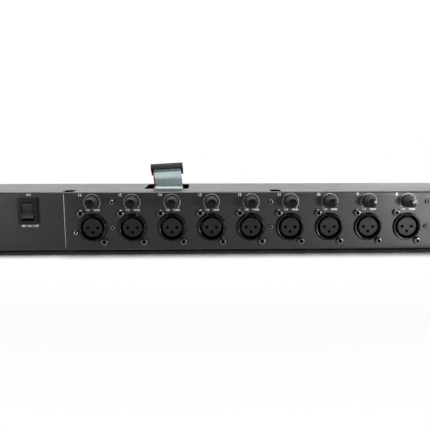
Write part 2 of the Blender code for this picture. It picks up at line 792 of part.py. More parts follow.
def make_brackets(finish):
    """Channel-section brackets between panel and board, each with its two set rivets."""
    front, back = SHEET + GAP, BOARD_FRONT
    left, right = -BRACKET_WIDTH / 2, BRACKET_WIDTH / 2
    profile = pan_head_profile(RIVET_HEAD_RADIUS, RIVET_HEAD_HEIGHT, RIVET_RADIUS, front + OVERLAP)
    section = [
        (left, front),
        (right, front),
        (right, front + BRACKET_SHEET),
        (left + BRACKET_SHEET, front + BRACKET_SHEET),
        (left + BRACKET_SHEET, back - BRACKET_SHEET),
        (right, back - BRACKET_SHEET),
        (right, back),
        (left, back),
    ]
    middle = Vector((0, 0, (SOCKET_HEIGHT + KNOB_HEIGHT) / 2))
    tall = KNOB_HEIGHT - SOCKET_HEIGHT + 2 * BRACKET_OVERHANG
    for name, x in bracket_offsets().items():
        bracket = outline(f"bracket_{name}", section, tall, Matrix.Translation(middle))
        for height in (SOCKET_HEIGHT, KNOB_HEIGHT):
            rivet = turned("rivet", profile, SMALL_SIDES, CUTTERS)
            rivet.location = (0, 0, height)
            join(bracket, rivet)
        paint(place(f"bracket_{name}", baked(bracket), panel(x, 0, 0)), finish)


# Phantom power switch

def make_switch(finish, rocker_finish):
    spot = panel(SWITCH_X, 0, SWITCH_HEIGHT)
    bezel = Vector((SWITCH_BEZEL_WIDTH / 2, 0, SWITCH_BEZEL_HEIGHT / 2))
    can = Vector((SWITCH_CAN_WIDTH / 2, 0, SWITCH_CAN_HEIGHT / 2))
    well = Vector((ROCKER_WIDTH / 2 + GAP, 0, ROCKER_END_LENGTH))
    bezel_face = Vector((0, -GAP - SWITCH_BEZEL_PROUD, 0))
    bezel_back = Vector((0, -GAP, 0))

    def add_bezel(bm):
        add_box(bm, bezel_face - bezel, bezel_back + bezel)
        front = [e for e in bm.edges if all(v.co.y < bezel_back.y - OVERLAP for v in e.verts)]
        bmesh.ops.bevel(
            bm,
            geom=front,
            offset=SWITCH_BEZEL_ROUND,
            segments=SWITCH_BEZEL_ROUND_STEPS,
            profile=0.5,
            affect="EDGES",
        )

    body = shape("phantom_switch_body", add_bezel)
    can_front, can_back = Vector((0, -GAP - OVERLAP, 0)), Vector((0, SWITCH_CAN_DEPTH, 0))
    join(body, helper("switch_can", lambda bm: add_box(bm, can_front - can, can_back + can)))

    def add_terminals(bm):
        blade = Vector((TERMINAL_WIDTH / 2, 0, TERMINAL_THICKNESS / 2))
        for height in (-TERMINAL_OFFSET, TERMINAL_OFFSET):
            add_box(
                bm,
                Vector((0, SWITCH_CAN_DEPTH - OVERLAP, height)) - blade,
                Vector((0, BOARD_FRONT, height)) + blade,
            )

    join(body, helper("terminals", add_terminals))
    well_back = Vector((0, SWITCH_WELL_DEPTH, 0))
    cut(body, helper("rocker_well", lambda bm: add_box(bm, bezel_face * 2 - well, well_back + well)))
    pin_end = SWITCH_CAN_WIDTH / 2 + REACH
    pivot = (0, ROCKER_PIVOT_DEPTH, 0)
    cut(
        body,
        helper(
            "pivot_holes",
            lambda bm: add_rod(
                bm,
                ROCKER_PIN_RADIUS + GAP,
                (-pin_end, ROCKER_PIVOT_DEPTH, 0),
                (pin_end, ROCKER_PIVOT_DEPTH, 0),
                SMALL_SIDES,
                axis="X",
            ),
        ),
    )
    paint(place("phantom_switch_body", baked(body), spot), finish)

    # The outline is drawn about the pivot, with its x as depth and its y as height.
    end = -ROCKER_END_PROUD - ROCKER_PIVOT_DEPTH
    middle = -ROCKER_MIDDLE_PROUD - ROCKER_PIVOT_DEPTH
    rocker = outline(
        "rocker",
        [
            (middle, 0),
            (end, -ROCKER_HALF_LENGTH),
            (ROCKER_SHOULDER_DEPTH, -ROCKER_HALF_LENGTH),
            (ROCKER_BACK_DEPTH, -ROCKER_BACK_HALF_LENGTH),
            (ROCKER_BACK_DEPTH, ROCKER_BACK_HALF_LENGTH),
            (ROCKER_SHOULDER_DEPTH, ROCKER_HALF_LENGTH),
            (end, ROCKER_HALF_LENGTH),
        ],
        ROCKER_WIDTH,
        Matrix(((0, 0, 1, 0), (1, 0, 0, 0), (0, 1, 0, 0), (0, 0, 0, 1))),
    )
    pin_half = ROCKER_WIDTH / 2 + ROCKER_PIN_REACH
    pins = helper(
        "rocker_pins",
        lambda bm: add_rod(
            bm, ROCKER_PIN_RADIUS, (-pin_half, 0, 0), (pin_half, 0, 0), SMALL_SIDES, axis="X"
        ),
    )
    join(rocker, pins)
    pivot_place = spot + Vector(pivot)
    paint(place("phantom_rocker", baked(rocker), pivot_place, (-ROCKER_TILT, 0, 0)), rocker_finish)


# Ribbon lead

def ribbon_point(offset):
    """World place of a point given from where the ribbon passes the exit's front edge."""
    sideways, behind, above = offset
    return panel(RIBBON_X + sideways, RIBBON_DEPTH + behind, CASE_HEIGHT + above)


def socket_frame():
    """Where the free socket sits: x along it, -y out of its cover and z along the ribbon."""
    turn = Matrix.Rotation(-SOCKET_ROLL, 4, "Y") @ Matrix.Rotation(-SOCKET_LEAN, 4, "X")
    return Matrix.Translation(ribbon_point(SOCKET_CENTRE)) @ turn


def smooth_route(points, count):
    """Points at even steps of a Catmull-Rom curve through the route's own points."""
    ends = [2 * points[0] - points[1], *points, 2 * points[-1] - points[-2]]
    spans = len(points) - 1
    route = []
    for station in range(count):
        at = station * spans / (count - 1)
        span = min(int(at), spans - 1)
        t = at - span
        a, b, c, d = ends[span : span + 4]
        route.append(
            0.5
            * (
                2 * b
                + (c - a) * t
                + (2 * a - 5 * b + 4 * c - d) * t**2
                + (3 * b - a - 3 * c + d) * t**3
            )
        )
    return route


def make_ribbon(finish):
    """A flat cable from the board connector, up past the exit's front edge and back to the free socket."""
    frame = socket_frame()
    in_socket = [frame @ Vector((0, 0, share * HOUSING_HEIGHT / 2)) for share in (-1, 0, 1)]
    points = [panel(RIBBON_X, RIBBON_DEPTH, BOARD_CONNECTOR_TOP - RIBBON_GRIP)]
    points += [ribbon_point(offset) for offset in RIBBON_ROUTE]
    points += in_socket
    route = smooth_route(points, RIBBON_STATIONS)
    low, high = CASE_HEIGHT, in_socket[0].z

    def add_strip(bm):
        bmesh.ops.create_grid(bm, x_segments=1, y_segments=RIBBON_STATIONS - 1, size=1)
        for vertex in bm.verts:
            station = round((vertex.co.y + 1) / 2 * (RIBBON_STATIONS - 1))
            middle = route[station]
            share = min(max((middle.z - low) / (high - low), 0), 1)
            roll = SOCKET_ROLL * share * share * (3 - 2 * share)
            across = Vector((math.cos(roll), 0, math.sin(roll)))
            vertex.co = middle + across * math.copysign(RIBBON_WIDTH / 2, vertex.co.x)

    ribbon = shape("ribbon_cable", add_strip)
    solidify = ribbon.modifiers.new("thickness", "SOLIDIFY")
    solidify.thickness = RIBBON_THICKNESS
    solidify.offset = 0
    paint(ribbon, finish)


def make_ribbon_connectors(finish, cover_finish):
    half = HOUSING_WIDTH / 2
    grip = RIBBON_THICKNESS / 2 + GAP

    def block(bm, x, y, z):
        add_box(bm, (x[0], y[0], z[0]), (x[1], y[1], z[1]))

    foot, top = BOARD_CONNECTOR_FOOT, BOARD_CONNECTOR_TOP
    seat = BOARD_BACK + GAP
    board_connector = shape(
        "ribbon_board_connector",
        lambda bm: block(bm, (-half, half), (seat, seat + BOARD_CONNECTOR_DEPTH), (foot, top)),
    )
    slot_half = RIBBON_WIDTH / 2 + GAP
    cut(
        board_connector,
        helper(
            "ribbon_slot",
            lambda bm: block(
                bm,
                (-slot_half, slot_half),
                (RIBBON_DEPTH - grip, RIBBON_DEPTH + grip),
                (top - RIBBON_GRIP - GAP, top + REACH),
            ),
        ),
    )
    paint(place("ribbon_board_connector", baked(board_connector), panel(RIBBON_X, 0, 0)), finish)

    tall = HOUSING_HEIGHT / 2
    body = shape(
        "body", lambda bm: block(bm, (-half, half), (grip, grip + SOCKET_BODY_DEPTH), (-tall, tall))
    )
    key = SOCKET_KEY_WIDTH / 2
    join(
        body,
        helper(
            "socket_key",
            lambda bm: block(
                bm,
                (-key, key),
                (grip + SOCKET_BODY_DEPTH / 2, grip + SOCKET_BODY_DEPTH - OVERLAP),
                (tall - OVERLAP, tall + SOCKET_KEY_HEIGHT),
            ),
        ),
    )
    cover = shape(
        "cover", lambda bm: block(bm, (-half, half), (-grip - SOCKET_COVER_DEPTH, -grip), (-tall, tall))
    )
    leg = RIBBON_WIDTH / 2 + GAP

    def add_legs(bm):
        for inner, outer in ((leg, half), (-half, -leg)):
            block(bm, (inner, outer), (-grip - OVERLAP, grip - GAP), (-tall, tall))

    join(cover, helper("cover_legs", add_legs))
    for name, piece, look in (
        ("ribbon_socket_body", body, finish),
        ("ribbon_socket_cover", cover, cover_finish),
    ):
        made = place(name, baked(piece), (0, 0, 0))
        made.matrix_world = socket_frame()
        paint(made, look)


def main():
    clear_scene()
    grey_paint = material("dark_grey_paint", (0.045, 0.046, 0.046), 0.35)
    black_plastic = material("gloss_black_plastic", (0.012, 0.012, 0.013), 0.25)
    insert_plastic = material("dark_grey_plastic", (0.035, 0.036, 0.04), 0.55)
    knob_plastic = material("black_knob_plastic", (0.02, 0.02, 0.019), 0.4)
    zinc = material("zinc_plated_steel", (0.55, 0.54, 0.5), 0.3, 1.0)
    bright_steel = material("bright_steel", (0.8, 0.79, 0.76), 0.2, 1.0)
    bracket_steel = material("bracket_steel", (0.5, 0.48, 0.44), 0.4, 1.0)
    board_green = material("board_green", (0.03, 0.14, 0.06), 0.4)
    ribbon_grey = material("ribbon_grey", (0.46, 0.52, 0.54), 0.45)
    housing_black = material("housing_black", (0.02, 0.02, 0.021), 0.45)
    cover_grey = material("housing_cover_grey", (0.05, 0.052, 0.055), 0.5)

    make_chassis(grey_paint)
    make_rear_cover(grey_paint)
    make_small_screws(zinc, bright_steel)
    make_channels({"socket": black_plastic, "insert": insert_plastic, "knob": knob_plastic})
    make_board(board_green)
    make_brackets(bracket_steel)
    make_switch(black_plastic, knob_plastic)
    make_ribbon(ribbon_grey)
    make_ribbon_connectors(housing_black, cover_grey)


main()
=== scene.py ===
"""Looks of a ten-channel microphone preamp: detailed pieces, materials, floor, light and camera.

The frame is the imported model's, in metres: +X runs right along the case, -Y points out of the front panel
and +Z is up. Pieces on the panel are drawn about their own axis: x right, y the depth behind the panel's
outer face, z up.
"""

import json
import math

import bmesh
import bpy
from mathutils import Matrix, Vector


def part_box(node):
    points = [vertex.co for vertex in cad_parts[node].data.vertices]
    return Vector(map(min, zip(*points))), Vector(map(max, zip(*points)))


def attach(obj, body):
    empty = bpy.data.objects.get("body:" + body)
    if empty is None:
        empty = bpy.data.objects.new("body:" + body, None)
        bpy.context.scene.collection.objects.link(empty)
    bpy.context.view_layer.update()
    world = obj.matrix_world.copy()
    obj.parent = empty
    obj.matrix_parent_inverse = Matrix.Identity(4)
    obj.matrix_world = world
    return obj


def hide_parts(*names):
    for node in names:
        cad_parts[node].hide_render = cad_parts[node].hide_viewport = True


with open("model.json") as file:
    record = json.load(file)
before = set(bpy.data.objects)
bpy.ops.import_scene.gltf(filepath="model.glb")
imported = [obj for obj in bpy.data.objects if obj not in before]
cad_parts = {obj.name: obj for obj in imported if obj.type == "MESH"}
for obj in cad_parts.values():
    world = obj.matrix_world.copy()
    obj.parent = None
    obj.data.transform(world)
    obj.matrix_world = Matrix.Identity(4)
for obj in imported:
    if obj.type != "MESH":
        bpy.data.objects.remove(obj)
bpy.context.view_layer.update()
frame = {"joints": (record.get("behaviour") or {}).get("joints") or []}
MM = 0.001


def mm(*sizes):
    """Sizes in millimetres, as metres."""
    return tuple(size * MM for size in sizes)


# How finely shapes are drawn
ARC_STEPS = 5
ROUND_STEPS = 96
SMALL_STEPS = 32
EDGE_STEPS = 2
EDGE_ANGLE = math.radians(40)
SMOOTH_ANGLE = math.radians(35)
ON_AXIS = 1e-7
# How far a cutter runs past what it cuts, and how far joined shapes reach into each other
REACH = 2 * MM
OVERLAP = 0.5 * MM
# The smallest step or clearance, and the usual clearance round what fits into a hole
SLIVER = OVERLAP / 5
GAP = 0.3 * MM

# Case
SHEET = 1.5 * MM
BEND_RADIUS = 1.6 * MM
BEND_STEPS = 6
CASE_EDGE = 0.12 * MM
# How deep under its outer planes the case counts as its inside
SKIN = 0.6 * MM
LIP_WIDTH = 9 * MM
LIP_BACK = 70.2 * MM
SHAFT_HOLE_RADIUS = 3.5 * MM
SLOT_WIDTH = 8.9 * MM
SLOT_DEPTH = mm(2.2, 16)
SLOT_CORNER = 0.6 * MM
SLOT_CENTRES = mm(-123, 50.19)
EXIT_X = mm(-62.4, -23.8)
EXIT_DEPTH = mm(25, 65.5)
EXIT_CORNER = 1.2 * MM
COVER_EDGE = 0.25 * MM
FOLD_SEAM_WIDTH = 0.3 * MM
FOLD_SEAM_DEPTH = 0.5 * MM
FOLD_SEAM_INSET = 2.2 * MM

# Fasteners
SOCKET_SCREW = {"head": 3.1 * MM, "tall": 2.2 * MM, "shank": 1.5 * MM, "end": 2.2 * MM}
SMALL_SCREW = {"head": 2.7 * MM, "tall": 1.7 * MM, "shank": 1.4 * MM, "end": 5 * MM}
EARTH_SCREW = {"head": 2 * MM, "tall": 1.7 * MM, "shank": 1.4 * MM, "end": 5 * MM}
COVER_SCREWS = range(1, 7)
# Shares of the head's height or radius
HEAD_ROUND = 0.62
RECESS_DEPTH = 0.85
RECESS_TAPER = 0.72
RECESS_LIP = 0.2
CROSS_ARM = 0.62
CROSS_HALF_WIDTH = 0.17
HEX_CORNER = 0.66
SCREW_TURN = math.radians(37)
RIVET_HEAD_RADIUS = 2.2 * MM
RIVET_HEAD_HEIGHT = 1.1 * MM
RIVET_HEAD_ROUND = 0.85 * MM
RIVET_RADIUS = 1.6 * MM
RIVET_EYE_RADIUS = 0.85 * MM
RIVET_EYE_ROUND = 0.2 * MM
RIVET_EYE_DEPTH = 2 * MM
# The rivets' metal at each bracket
RIVET_LOOKS = {"left": "rivet", "middle": "bronze", "right": "dark_bronze"}

# Sockets
EAR_X = 9.5 * MM
EAR_Z = 12 * MM
EARS = {"upper": Vector((-EAR_X, 0, EAR_Z)), "lower": Vector((EAR_X, 0, -EAR_Z))}
EAR_RADIUS = 3.4 * MM
# The rounding of the ears' ends as a share of their radius, short of a full half circle
EAR_ROUND = 0.99
EAR_DEPTH = mm(1.8, 4)
BEZEL_RADIUS = 11.6 * MM
BEZEL_PROUD = 1.6 * MM
BEZEL_ROUND = 0.7 * MM
BORE_ROUND = 1.2 * MM
BORE_RADIUS = 9.6 * MM
BORE_DEPTH = 14 * MM
BOSS_HOLE_RADIUS = 6.3 * MM
INSERT_BOSS_RADIUS = 6 * MM
INSERT_ROUND = 0.3 * MM
INSERT_RIM = 0.7 * MM
INSERT_RIM_HEIGHT = 0.25 * MM
INSERT_RIM_ROUND = INSERT_RIM_HEIGHT / 3
INSERT_EDGE = 0.12 * MM
CONTACT_CIRCLE = 4 * MM
CONTACT_SPOTS = [Vector((x * CONTACT_CIRCLE, 0, z * CONTACT_CIRCLE)) for x, z in ((-1, 0), (1, 0), (0, -1))]
CONTACT_HOLE_RADIUS = 1.3 * MM
CONTACT_HOLE_DEPTH = 11 * MM
CONTACT_RADIUS = 1.15 * MM
CONTACT_WALL = 0.2 * MM
CONTACT_SET_BACK = 4 * MM
LATCH_TOP_WIDTH = 6.8 * MM
LATCH_FOOT_WIDTH = 3.2 * MM
LATCH_HEIGHT = 2.2 * MM
LATCH_DEPTH = mm(-1.9, 11)
LATCH_SLOT_BACK = 13 * MM
LATCH_EDGE = 0.22 * MM
LATCH_RIDGES = 3
LATCH_RIDGE_PITCH = 0.55 * MM
# A groove's depth and half its height
LATCH_GROOVE = (LATCH_RIDGE_PITCH / 3, LATCH_RIDGE_PITCH / 4)

# Knobs
KNOB_BACK_RADIUS = 5.3 * MM
KNOB_FACE_RADIUS = 3.8 * MM
KNOB_BACK = -1 * MM
KNOB_FACE = -10.5 * MM
KNOB_BACK_ROUND = 0.2 * MM
KNOB_FACE_ROUND = 0.15 * MM
KNOB_SKIRT = 1.3 * MM
KNOB_DOME = 0.32 * MM
KNOB_RIM = 0.45 * MM
DOME_STEPS = 5
FLUTES = 18
FLUTE_DEPTH = 0.085
FLUTE_SHARPNESS = 3
FLUTE_STEPS = 8
FLUTE_FRONT = KNOB_FACE + 0.5 * MM
FLUTE_BACK = KNOB_BACK - KNOB_SKIRT
SHAFT_RADIUS = 3 * MM
SHAFT_ROUND = 0.3 * MM
SHAFT_END = 18.4 * MM
POINTER_WIDTH = 0.9 * MM
POINTER_LENGTH = 3.2 * MM
POINTER_DEPTH = 0.5 * MM

# Switch and rocker; the rocker's outline is (depth, height, corner radius) about its pivot
SWITCH_BEZEL = mm(15, 21)
SWITCH_BEZEL_DEPTH = mm(-2.3, 0)
SWITCH_BEZEL_ROUND = 0.6 * MM
SWITCH_CAN = mm(12.8, 18.8)
SWITCH_CAN_BACK = 14 * MM
SWITCH_WELL = mm(10.4, 15.2)
SWITCH_WELL_BACK = 9 * MM
SWITCH_RIM = 0.5 * MM
SWITCH_EDGE = 0.2 * MM
TERMINAL_SIZE = mm(4.8, 0.8)
TERMINAL_BACK = 21.7 * MM
TERMINAL_OFFSET = 4 * MM
ROCKER_WIDTH = 9.8 * MM
ROCKER_EDGE = 0.35 * MM
ROCKER_TILT = math.radians(12)
ROCKER_PIN_RADIUS = 1 * MM
ROCKER_PIN_REACH = 1 * MM
ROCKER_OUTLINE = (
    mm(-1.5, 1.6, 4),
    mm(-4.4, -6.5, 0.6),
    mm(1.5, -6.5, 0.6),
    mm(5.4, -2.6, 0.6),
    mm(5.4, 2.6, 0.6),
    mm(1.5, 6.5, 0.6),
    mm(-4.4, 6.5, 0.6),
)

# Brackets and board
BRACKET_SHEET = 1.2 * MM
BRACKET_BEND = 1.5 * MM
BRACKET_EDGE = 0.12 * MM
BOARD_FRONT = 22 * MM
BOARD_BACK = 23.6 * MM
BOARD_EDGE = 0.15 * MM
POT_SIZE = mm(9.6, 7, 10.6)
POT_EDGE = 0.5 * MM
CHIP_SIZE = mm(9.5, 3.3, 6.4)
CHIP_EDGE = 0.25 * MM
CHIP_LIFT = 0.5 * MM
CHIP_Z = 34 * MM
CHIP_LEGS = 4
CHIP_LEG_PITCH = 2.54 * MM
CHIP_LEG_WIDTH = 0.5 * MM
CHIP_LEG_EDGE = CHIP_EDGE / 2
CAPACITOR_RADIUS = 3.2 * MM
CAPACITOR_LENGTH = 11 * MM
CAPACITOR_WAIST = 0.3 * MM
# Where the groove starts, is deepest and ends, as shares of the length
CAPACITOR_GROOVE = (0.12, 0.156, 0.192)
CAPACITOR_OFFSET = 8 * MM
CAPACITOR_Z = 14 * MM

# Ribbon lead; the route's points are measured from where it passes the exit's front edge
RIBBON_EXIT = Vector(mm(-41.4, -10, 49))
RIBBON_ROUTE = (
    mm(0, 0, -15.5),
    mm(0, 0, -9),
    mm(0, 0, -3),
    mm(0, 0.1, -0.5),
    mm(0, 0.9, 0.1),
    mm(0, 2.3, 0.4),
    mm(0, 3.5, 1.2),
    mm(-0.1, 4.1, 2.9),
    mm(-0.4, 4.2, 6.2),
    mm(-0.7, 4.35, 8.3),
    mm(-0.9, 5.2, 10),
    mm(-1.3, 7, 12.5),
)
RIBBON_STATIONS = 110
CONDUCTORS = 20
CONDUCTOR_PITCH = 1.25 * MM
CONDUCTOR_RADIUS = 0.45 * MM
CONDUCTOR_WEB = 0.3 * MM
CONDUCTOR_SAMPLES = (-0.5, -0.33, -0.26, -0.14, 0.0, 0.14, 0.26, 0.33)
PLUG_OFFSET = Vector(mm(-1.9, 11, 18.2))
PLUG_LEAN = math.radians(36)
PLUG_ROLL = math.radians(3.4)
PLUG_HALF_WIDTH = 14.2 * MM
PLUG_HALF_HEIGHT = 2.75 * MM
PLUG_BODY_DEPTH = mm(0.75, 8.75)
PLUG_COVER_DEPTH = mm(-2, -0.75)
PLUG_LEG_DEPTH = 0.15 * MM
PLUG_LEG_WIDTH = 1.9 * MM
PLUG_EDGE = 0.25 * MM
PLUG_BODY_EDGE = PLUG_EDGE / 2
PLUG_HOLE = 0.9 * MM
PLUG_HOLE_DEPTH = 5 * MM
PLUG_PITCH = 2.54 * MM
PLUG_KEY = mm(4.4, 0.9)
HEADER_EDGE = 0.3 * MM
HEADER_MOUTH = 3 * MM

# Print on the panel
INK = 0.03 * MM
INK_EDGE = INK / 3
WELD = 0.0001 * MM
ARC_RADIUS = 6.74 * MM
ARC_WIDTH = 0.33 * MM
ARC_SWEEP = math.radians(274)
ARC_PRINT_STEPS = 72
# Lettering as its height and how much its strokes are thickened
NUMBER_PLACE = mm(-9.8, 6)
NUMBER_LETTERS = mm(2.3, 0.12)
SCALE_MARKS = (("+10", -3.9 * MM), ("+60dB", 3.6 * MM))
SCALE_MARK_DROP = 6.6 * MM
SCALE_LETTERS = mm(1.55, 0.07)
SWITCH_MARKS = (("ON", mm(0.8, 13.4)), ("48V  ON / OFF", mm(0.9, -12.5)))
SWITCH_LETTERS = mm(1.65, 0.13)
DIVIDER_X = -126 * MM
DIVIDER_Z = mm(2, 47.4)
DIVIDER_WIDTH = 0.45 * MM
DIGIT_SHARE = 0.69
LETTER_SPACING = 0.92

# Camera, fitted to the photograph's edges and socket centres
CAMERA_PLACE = Vector(mm(-12.63, -456.57, 96.75))
CAMERA_PITCH = math.radians(9.081)
CAMERA_YAW = math.radians(1.564)
CAMERA_LENS = 42.70
CAMERA_SENSOR = 36
CAMERA_NEAR = 10 * MM

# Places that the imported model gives
CASE_LOW, CASE_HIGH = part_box("chassis")
PANEL_Y = CASE_LOW.y
KNOB_SPOTS = {
    joint["name"].removeprefix("knob_turn_"): Vector(joint["pos_m"])
    for joint in frame["joints"]
    if joint["name"].startswith("knob_turn_")
}
KNOB_Z = next(iter(KNOB_SPOTS.values())).z


def middle(node):
    low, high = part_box(node)
    return (low + high) / 2


def on_panel(node):
    """The point of the panel's outer face in front of a node's middle."""
    centre = middle(node)
    return Vector((centre.x, PANEL_Y, centre.z))


SOCKET_SPOTS = {
    number: Vector((spot.x, PANEL_Y, middle(f"xlr_insert_{number}").z))
    for number, spot in KNOB_SPOTS.items()
}
SOCKET_Z = next(iter(SOCKET_SPOTS.values())).z
SWITCH_SPOT = on_panel("phantom_switch_body")


# Shapes

def row(count, pitch):
    """Evenly spaced places about 0."""
    return [(index - (count - 1) / 2) * pitch for index in range(count)]


def rounded(corners):
    """A flat outline through (x, y, radius) corners, with an arc at each corner that has a radius."""
    points = []
    for index, (x, y, radius) in enumerate(corners):
        here = Vector((x, y))
        if not radius:
            points.append(here)
            continue
        last = (Vector(corners[index - 1][:2]) - here).normalized()
        following = (Vector(corners[(index + 1) % len(corners)][:2]) - here).normalized()
        half = last.angle(following) / 2
        centre = here + (last + following).normalized() * radius / math.sin(half)
        start = here + last * radius / math.tan(half) - centre
        turn = start.angle_signed(here + following * radius / math.tan(half) - centre)
        for step in range(ARC_STEPS + 1):
            points.append(centre + Matrix.Rotation(-turn * step / ARC_STEPS, 2) @ start)
    return points


def rectangle(width, height, radius):
    x, y = width / 2, height / 2
    return rounded([(-x, -y, radius), (x, -y, radius), (x, y, radius), (-x, y, radius)])


def add_turned(bm, profile, steps, at=(0, 0, 0), closed=False, flute=None):
    """Adds (radius, depth) points turned round y; flute gives the share of the radius that is kept."""
    centre = Vector(at)
    rings = []
    for radius, depth in profile:
        count = steps if radius > ON_AXIS else 1
        ring = []
        for step in range(count):
            angle = math.tau * step / count
            reach = radius * flute(angle, depth) if flute else radius
            offset = Vector((reach * math.sin(angle), depth, reach * math.cos(angle)))
            ring.append(bm.verts.new(centre + offset))
        rings.append(ring)
    if closed:
        rings.append(rings[0])
    for ring, following in zip(rings, rings[1:]):
        for step in range(steps):
            corners = (ring, step), (ring, step + 1), (following, step + 1), (following, step)
            bm.faces.new(tuple(dict.fromkeys(side[at_step % len(side)] for side, at_step in corners)))


def add_rod(bm, radius, start, end, at=(0, 0, 0), steps=SMALL_STEPS):
    add_turned(bm, [(0, end), (radius, end), (radius, start), (0, start)], steps, at)


# Turns an outline's own (x, y) to the panel's (x, z), with its thickness along the depth
UPRIGHT = Matrix(((1, 0, 0, 0), (0, 0, 1, 0), (0, 1, 0, 0), (0, 0, 0, 1)))
# Turns an outline's own (x, y) to the panel's (depth, height), with its thickness along x
SIDEWAYS = Matrix(((0, 0, 1, 0), (1, 0, 0, 0), (0, 1, 0, 0), (0, 0, 0, 1)))


def add_prism(bm, outline, start, end, turn=UPRIGHT):
    """Adds a flat outline, extruded from start to end along its own z and turned; returns its end faces."""
    near = [bm.verts.new((x, y, start)) for x, y in outline]
    far = [bm.verts.new((x, y, end)) for x, y in outline]
    caps = [bm.faces.new(near), bm.faces.new(far)]
    for index, vertex in enumerate(near):
        bm.faces.new((near[index - 1], vertex, far[index], far[index - 1]))
    bmesh.ops.transform(bm, matrix=turn, verts=near + far)
    return caps


def soften(bm, edges, radius, steps=EDGE_STEPS):
    bmesh.ops.bevel(bm, geom=list(edges), offset=radius, segments=steps, profile=0.5, affect="EDGES")


def add_block(bm, low, high, radius=0, steps=EDGE_STEPS):
    """Adds a box, with rounded edges if they are given a radius."""
    low, high = Vector(low), Vector(high)
    scale = Matrix.Diagonal((*(high - low), 1))
    made = bmesh.ops.create_cube(bm, size=1, matrix=Matrix.Translation((low + high) / 2) @ scale)
    if radius:
        soften(bm, {edge for vertex in made["verts"] for edge in vertex.link_edges}, radius, steps)


def drawn(draw, *args, **settings):
    """A new shape with what one of the functions above draws in it."""
    bm = bmesh.new()
    draw(bm, *args, **settings)
    return bm


def turned(corners, steps=SMALL_STEPS):
    """A new shape turned round y from the (radius, depth, rounding) corners of its profile."""
    return drawn(add_turned, rounded(corners), steps)


def meshed(bm):
    """The mesh of a drawn shape, smooth but for its sharp edges."""
    bmesh.ops.recalc_face_normals(bm, faces=bm.faces)
    mesh = bpy.data.meshes.new("shape")
    bm.to_mesh(mesh)
    bm.free()
    mesh.shade_smooth()
    mesh.set_sharp_from_angle(angle=SMOOTH_ANGLE)
    return mesh


def placed(name, data):
    """A new object in the scene."""
    obj = bpy.data.objects.new(name, data)
    bpy.context.scene.collection.objects.link(obj)
    return obj


def workpiece(shape):
    return placed("workpiece", shape if isinstance(shape, bpy.types.Mesh) else meshed(shape))


def evaluated_mesh(obj):
    bpy.context.view_layer.update()
    return bpy.data.meshes.new_from_object(obj.evaluated_get(bpy.context.evaluated_depsgraph_get()))


def carved(shape, joined=(), cut=(), edge=0):
    """The mesh of a shape with others joined to it and then cut from it, and its sharp edges rounded."""
    target = workpiece(shape)
    helpers = []
    for operation, others in (("UNION", joined), ("DIFFERENCE", cut)):
        for other in others:
            helpers.append(workpiece(other))
            modifier = target.modifiers.new(operation, "BOOLEAN")
            modifier.operation = operation
            modifier.object = helpers[-1]
            modifier.solver = "EXACT"
    if edge:
        bevel = target.modifiers.new("edges", "BEVEL")
        bevel.width = edge
        bevel.segments = EDGE_STEPS
        bevel.angle_limit = EDGE_ANGLE
        bevel.limit_method = "ANGLE"
        bevel.harden_normals = True
    mesh = evaluated_mesh(target)
    for obj in (target, *helpers):
        bpy.data.objects.remove(obj)
    mesh.shade_smooth()
    if not edge:
        mesh.set_sharp_from_angle(angle=SMOOTH_ANGLE)
    return mesh


def piece(name, mesh, look, place, slot, *nodes, body="case"):
    """Makes a piece of the object at a place in the frame, riding a body and standing for its CAD nodes."""
    obj = placed(name, mesh)
    if not mesh.materials:
        mesh.materials.append(LOOKS[look])
    obj.matrix_world = place if isinstance(place, Matrix) else Matrix.Translation(place)
    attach(obj, body)
    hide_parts(*nodes)


def two_toned(mesh, look, other, is_other):
    """Gives a mesh one look, and another to the faces whose centre passes a test."""
    mesh.materials.append(LOOKS[look])
    mesh.materials.append(LOOKS[other])
    for polygon in mesh.polygons:
        polygon.material_index = int(is_other(polygon.center))


def darken_as_painted_shade(mesh, look, dark, radius, front, back):
    """Gives a mesh a look, and a dark one as painted shade to its faces within a radius of its axis and
    between two depths.
    """
    def is_dark(centre):
        return math.hypot(centre.x, centre.z) < radius and front < centre.y < back

    two_toned(mesh, look, dark, is_dark)


# Materials

MIX_FACTOR, MIX_A, MIX_B, MIX_RESULT = 0, 6, 7, 2
UNIT = (0, 1)
EDGE_SAMPLES = 4
EDGE_FACING = (0.8, 0.98)
# How the mask of recesses for painted shade is sampled and spread
PAINTED_SHADE_SAMPLES = 8
PAINTED_SHADE_OPENNESS = (0.45, 0.75)


def add_node(tree, kind, inputs, output=0, **settings):
    """Adds a shader node, sets or links its inputs by name or index, and returns one of its outputs."""
    node = tree.nodes.new(f"ShaderNode{kind}")
    for name, value in settings.items():
        setattr(node, name, value)
    for socket, value in inputs.items():
        if isinstance(value, bpy.types.NodeSocket):
            tree.links.new(value, node.inputs[socket])
        else:
            node.inputs[socket].default_value = value
    return node.outputs[output]


def calculated(tree, operation, first, second):
    return add_node(tree, "Math", {0: first, 1: second}, operation=operation)


def spread(tree, value, source, target, **settings):
    """Spreads a value's range from one pair of ends over another."""
    (start, end), (low, high) = source, target
    ends = {"From Min": start, "From Max": end, "To Min": low, "To Max": high}
    return add_node(tree, "MapRange", {"Value": value, **ends}, **settings)


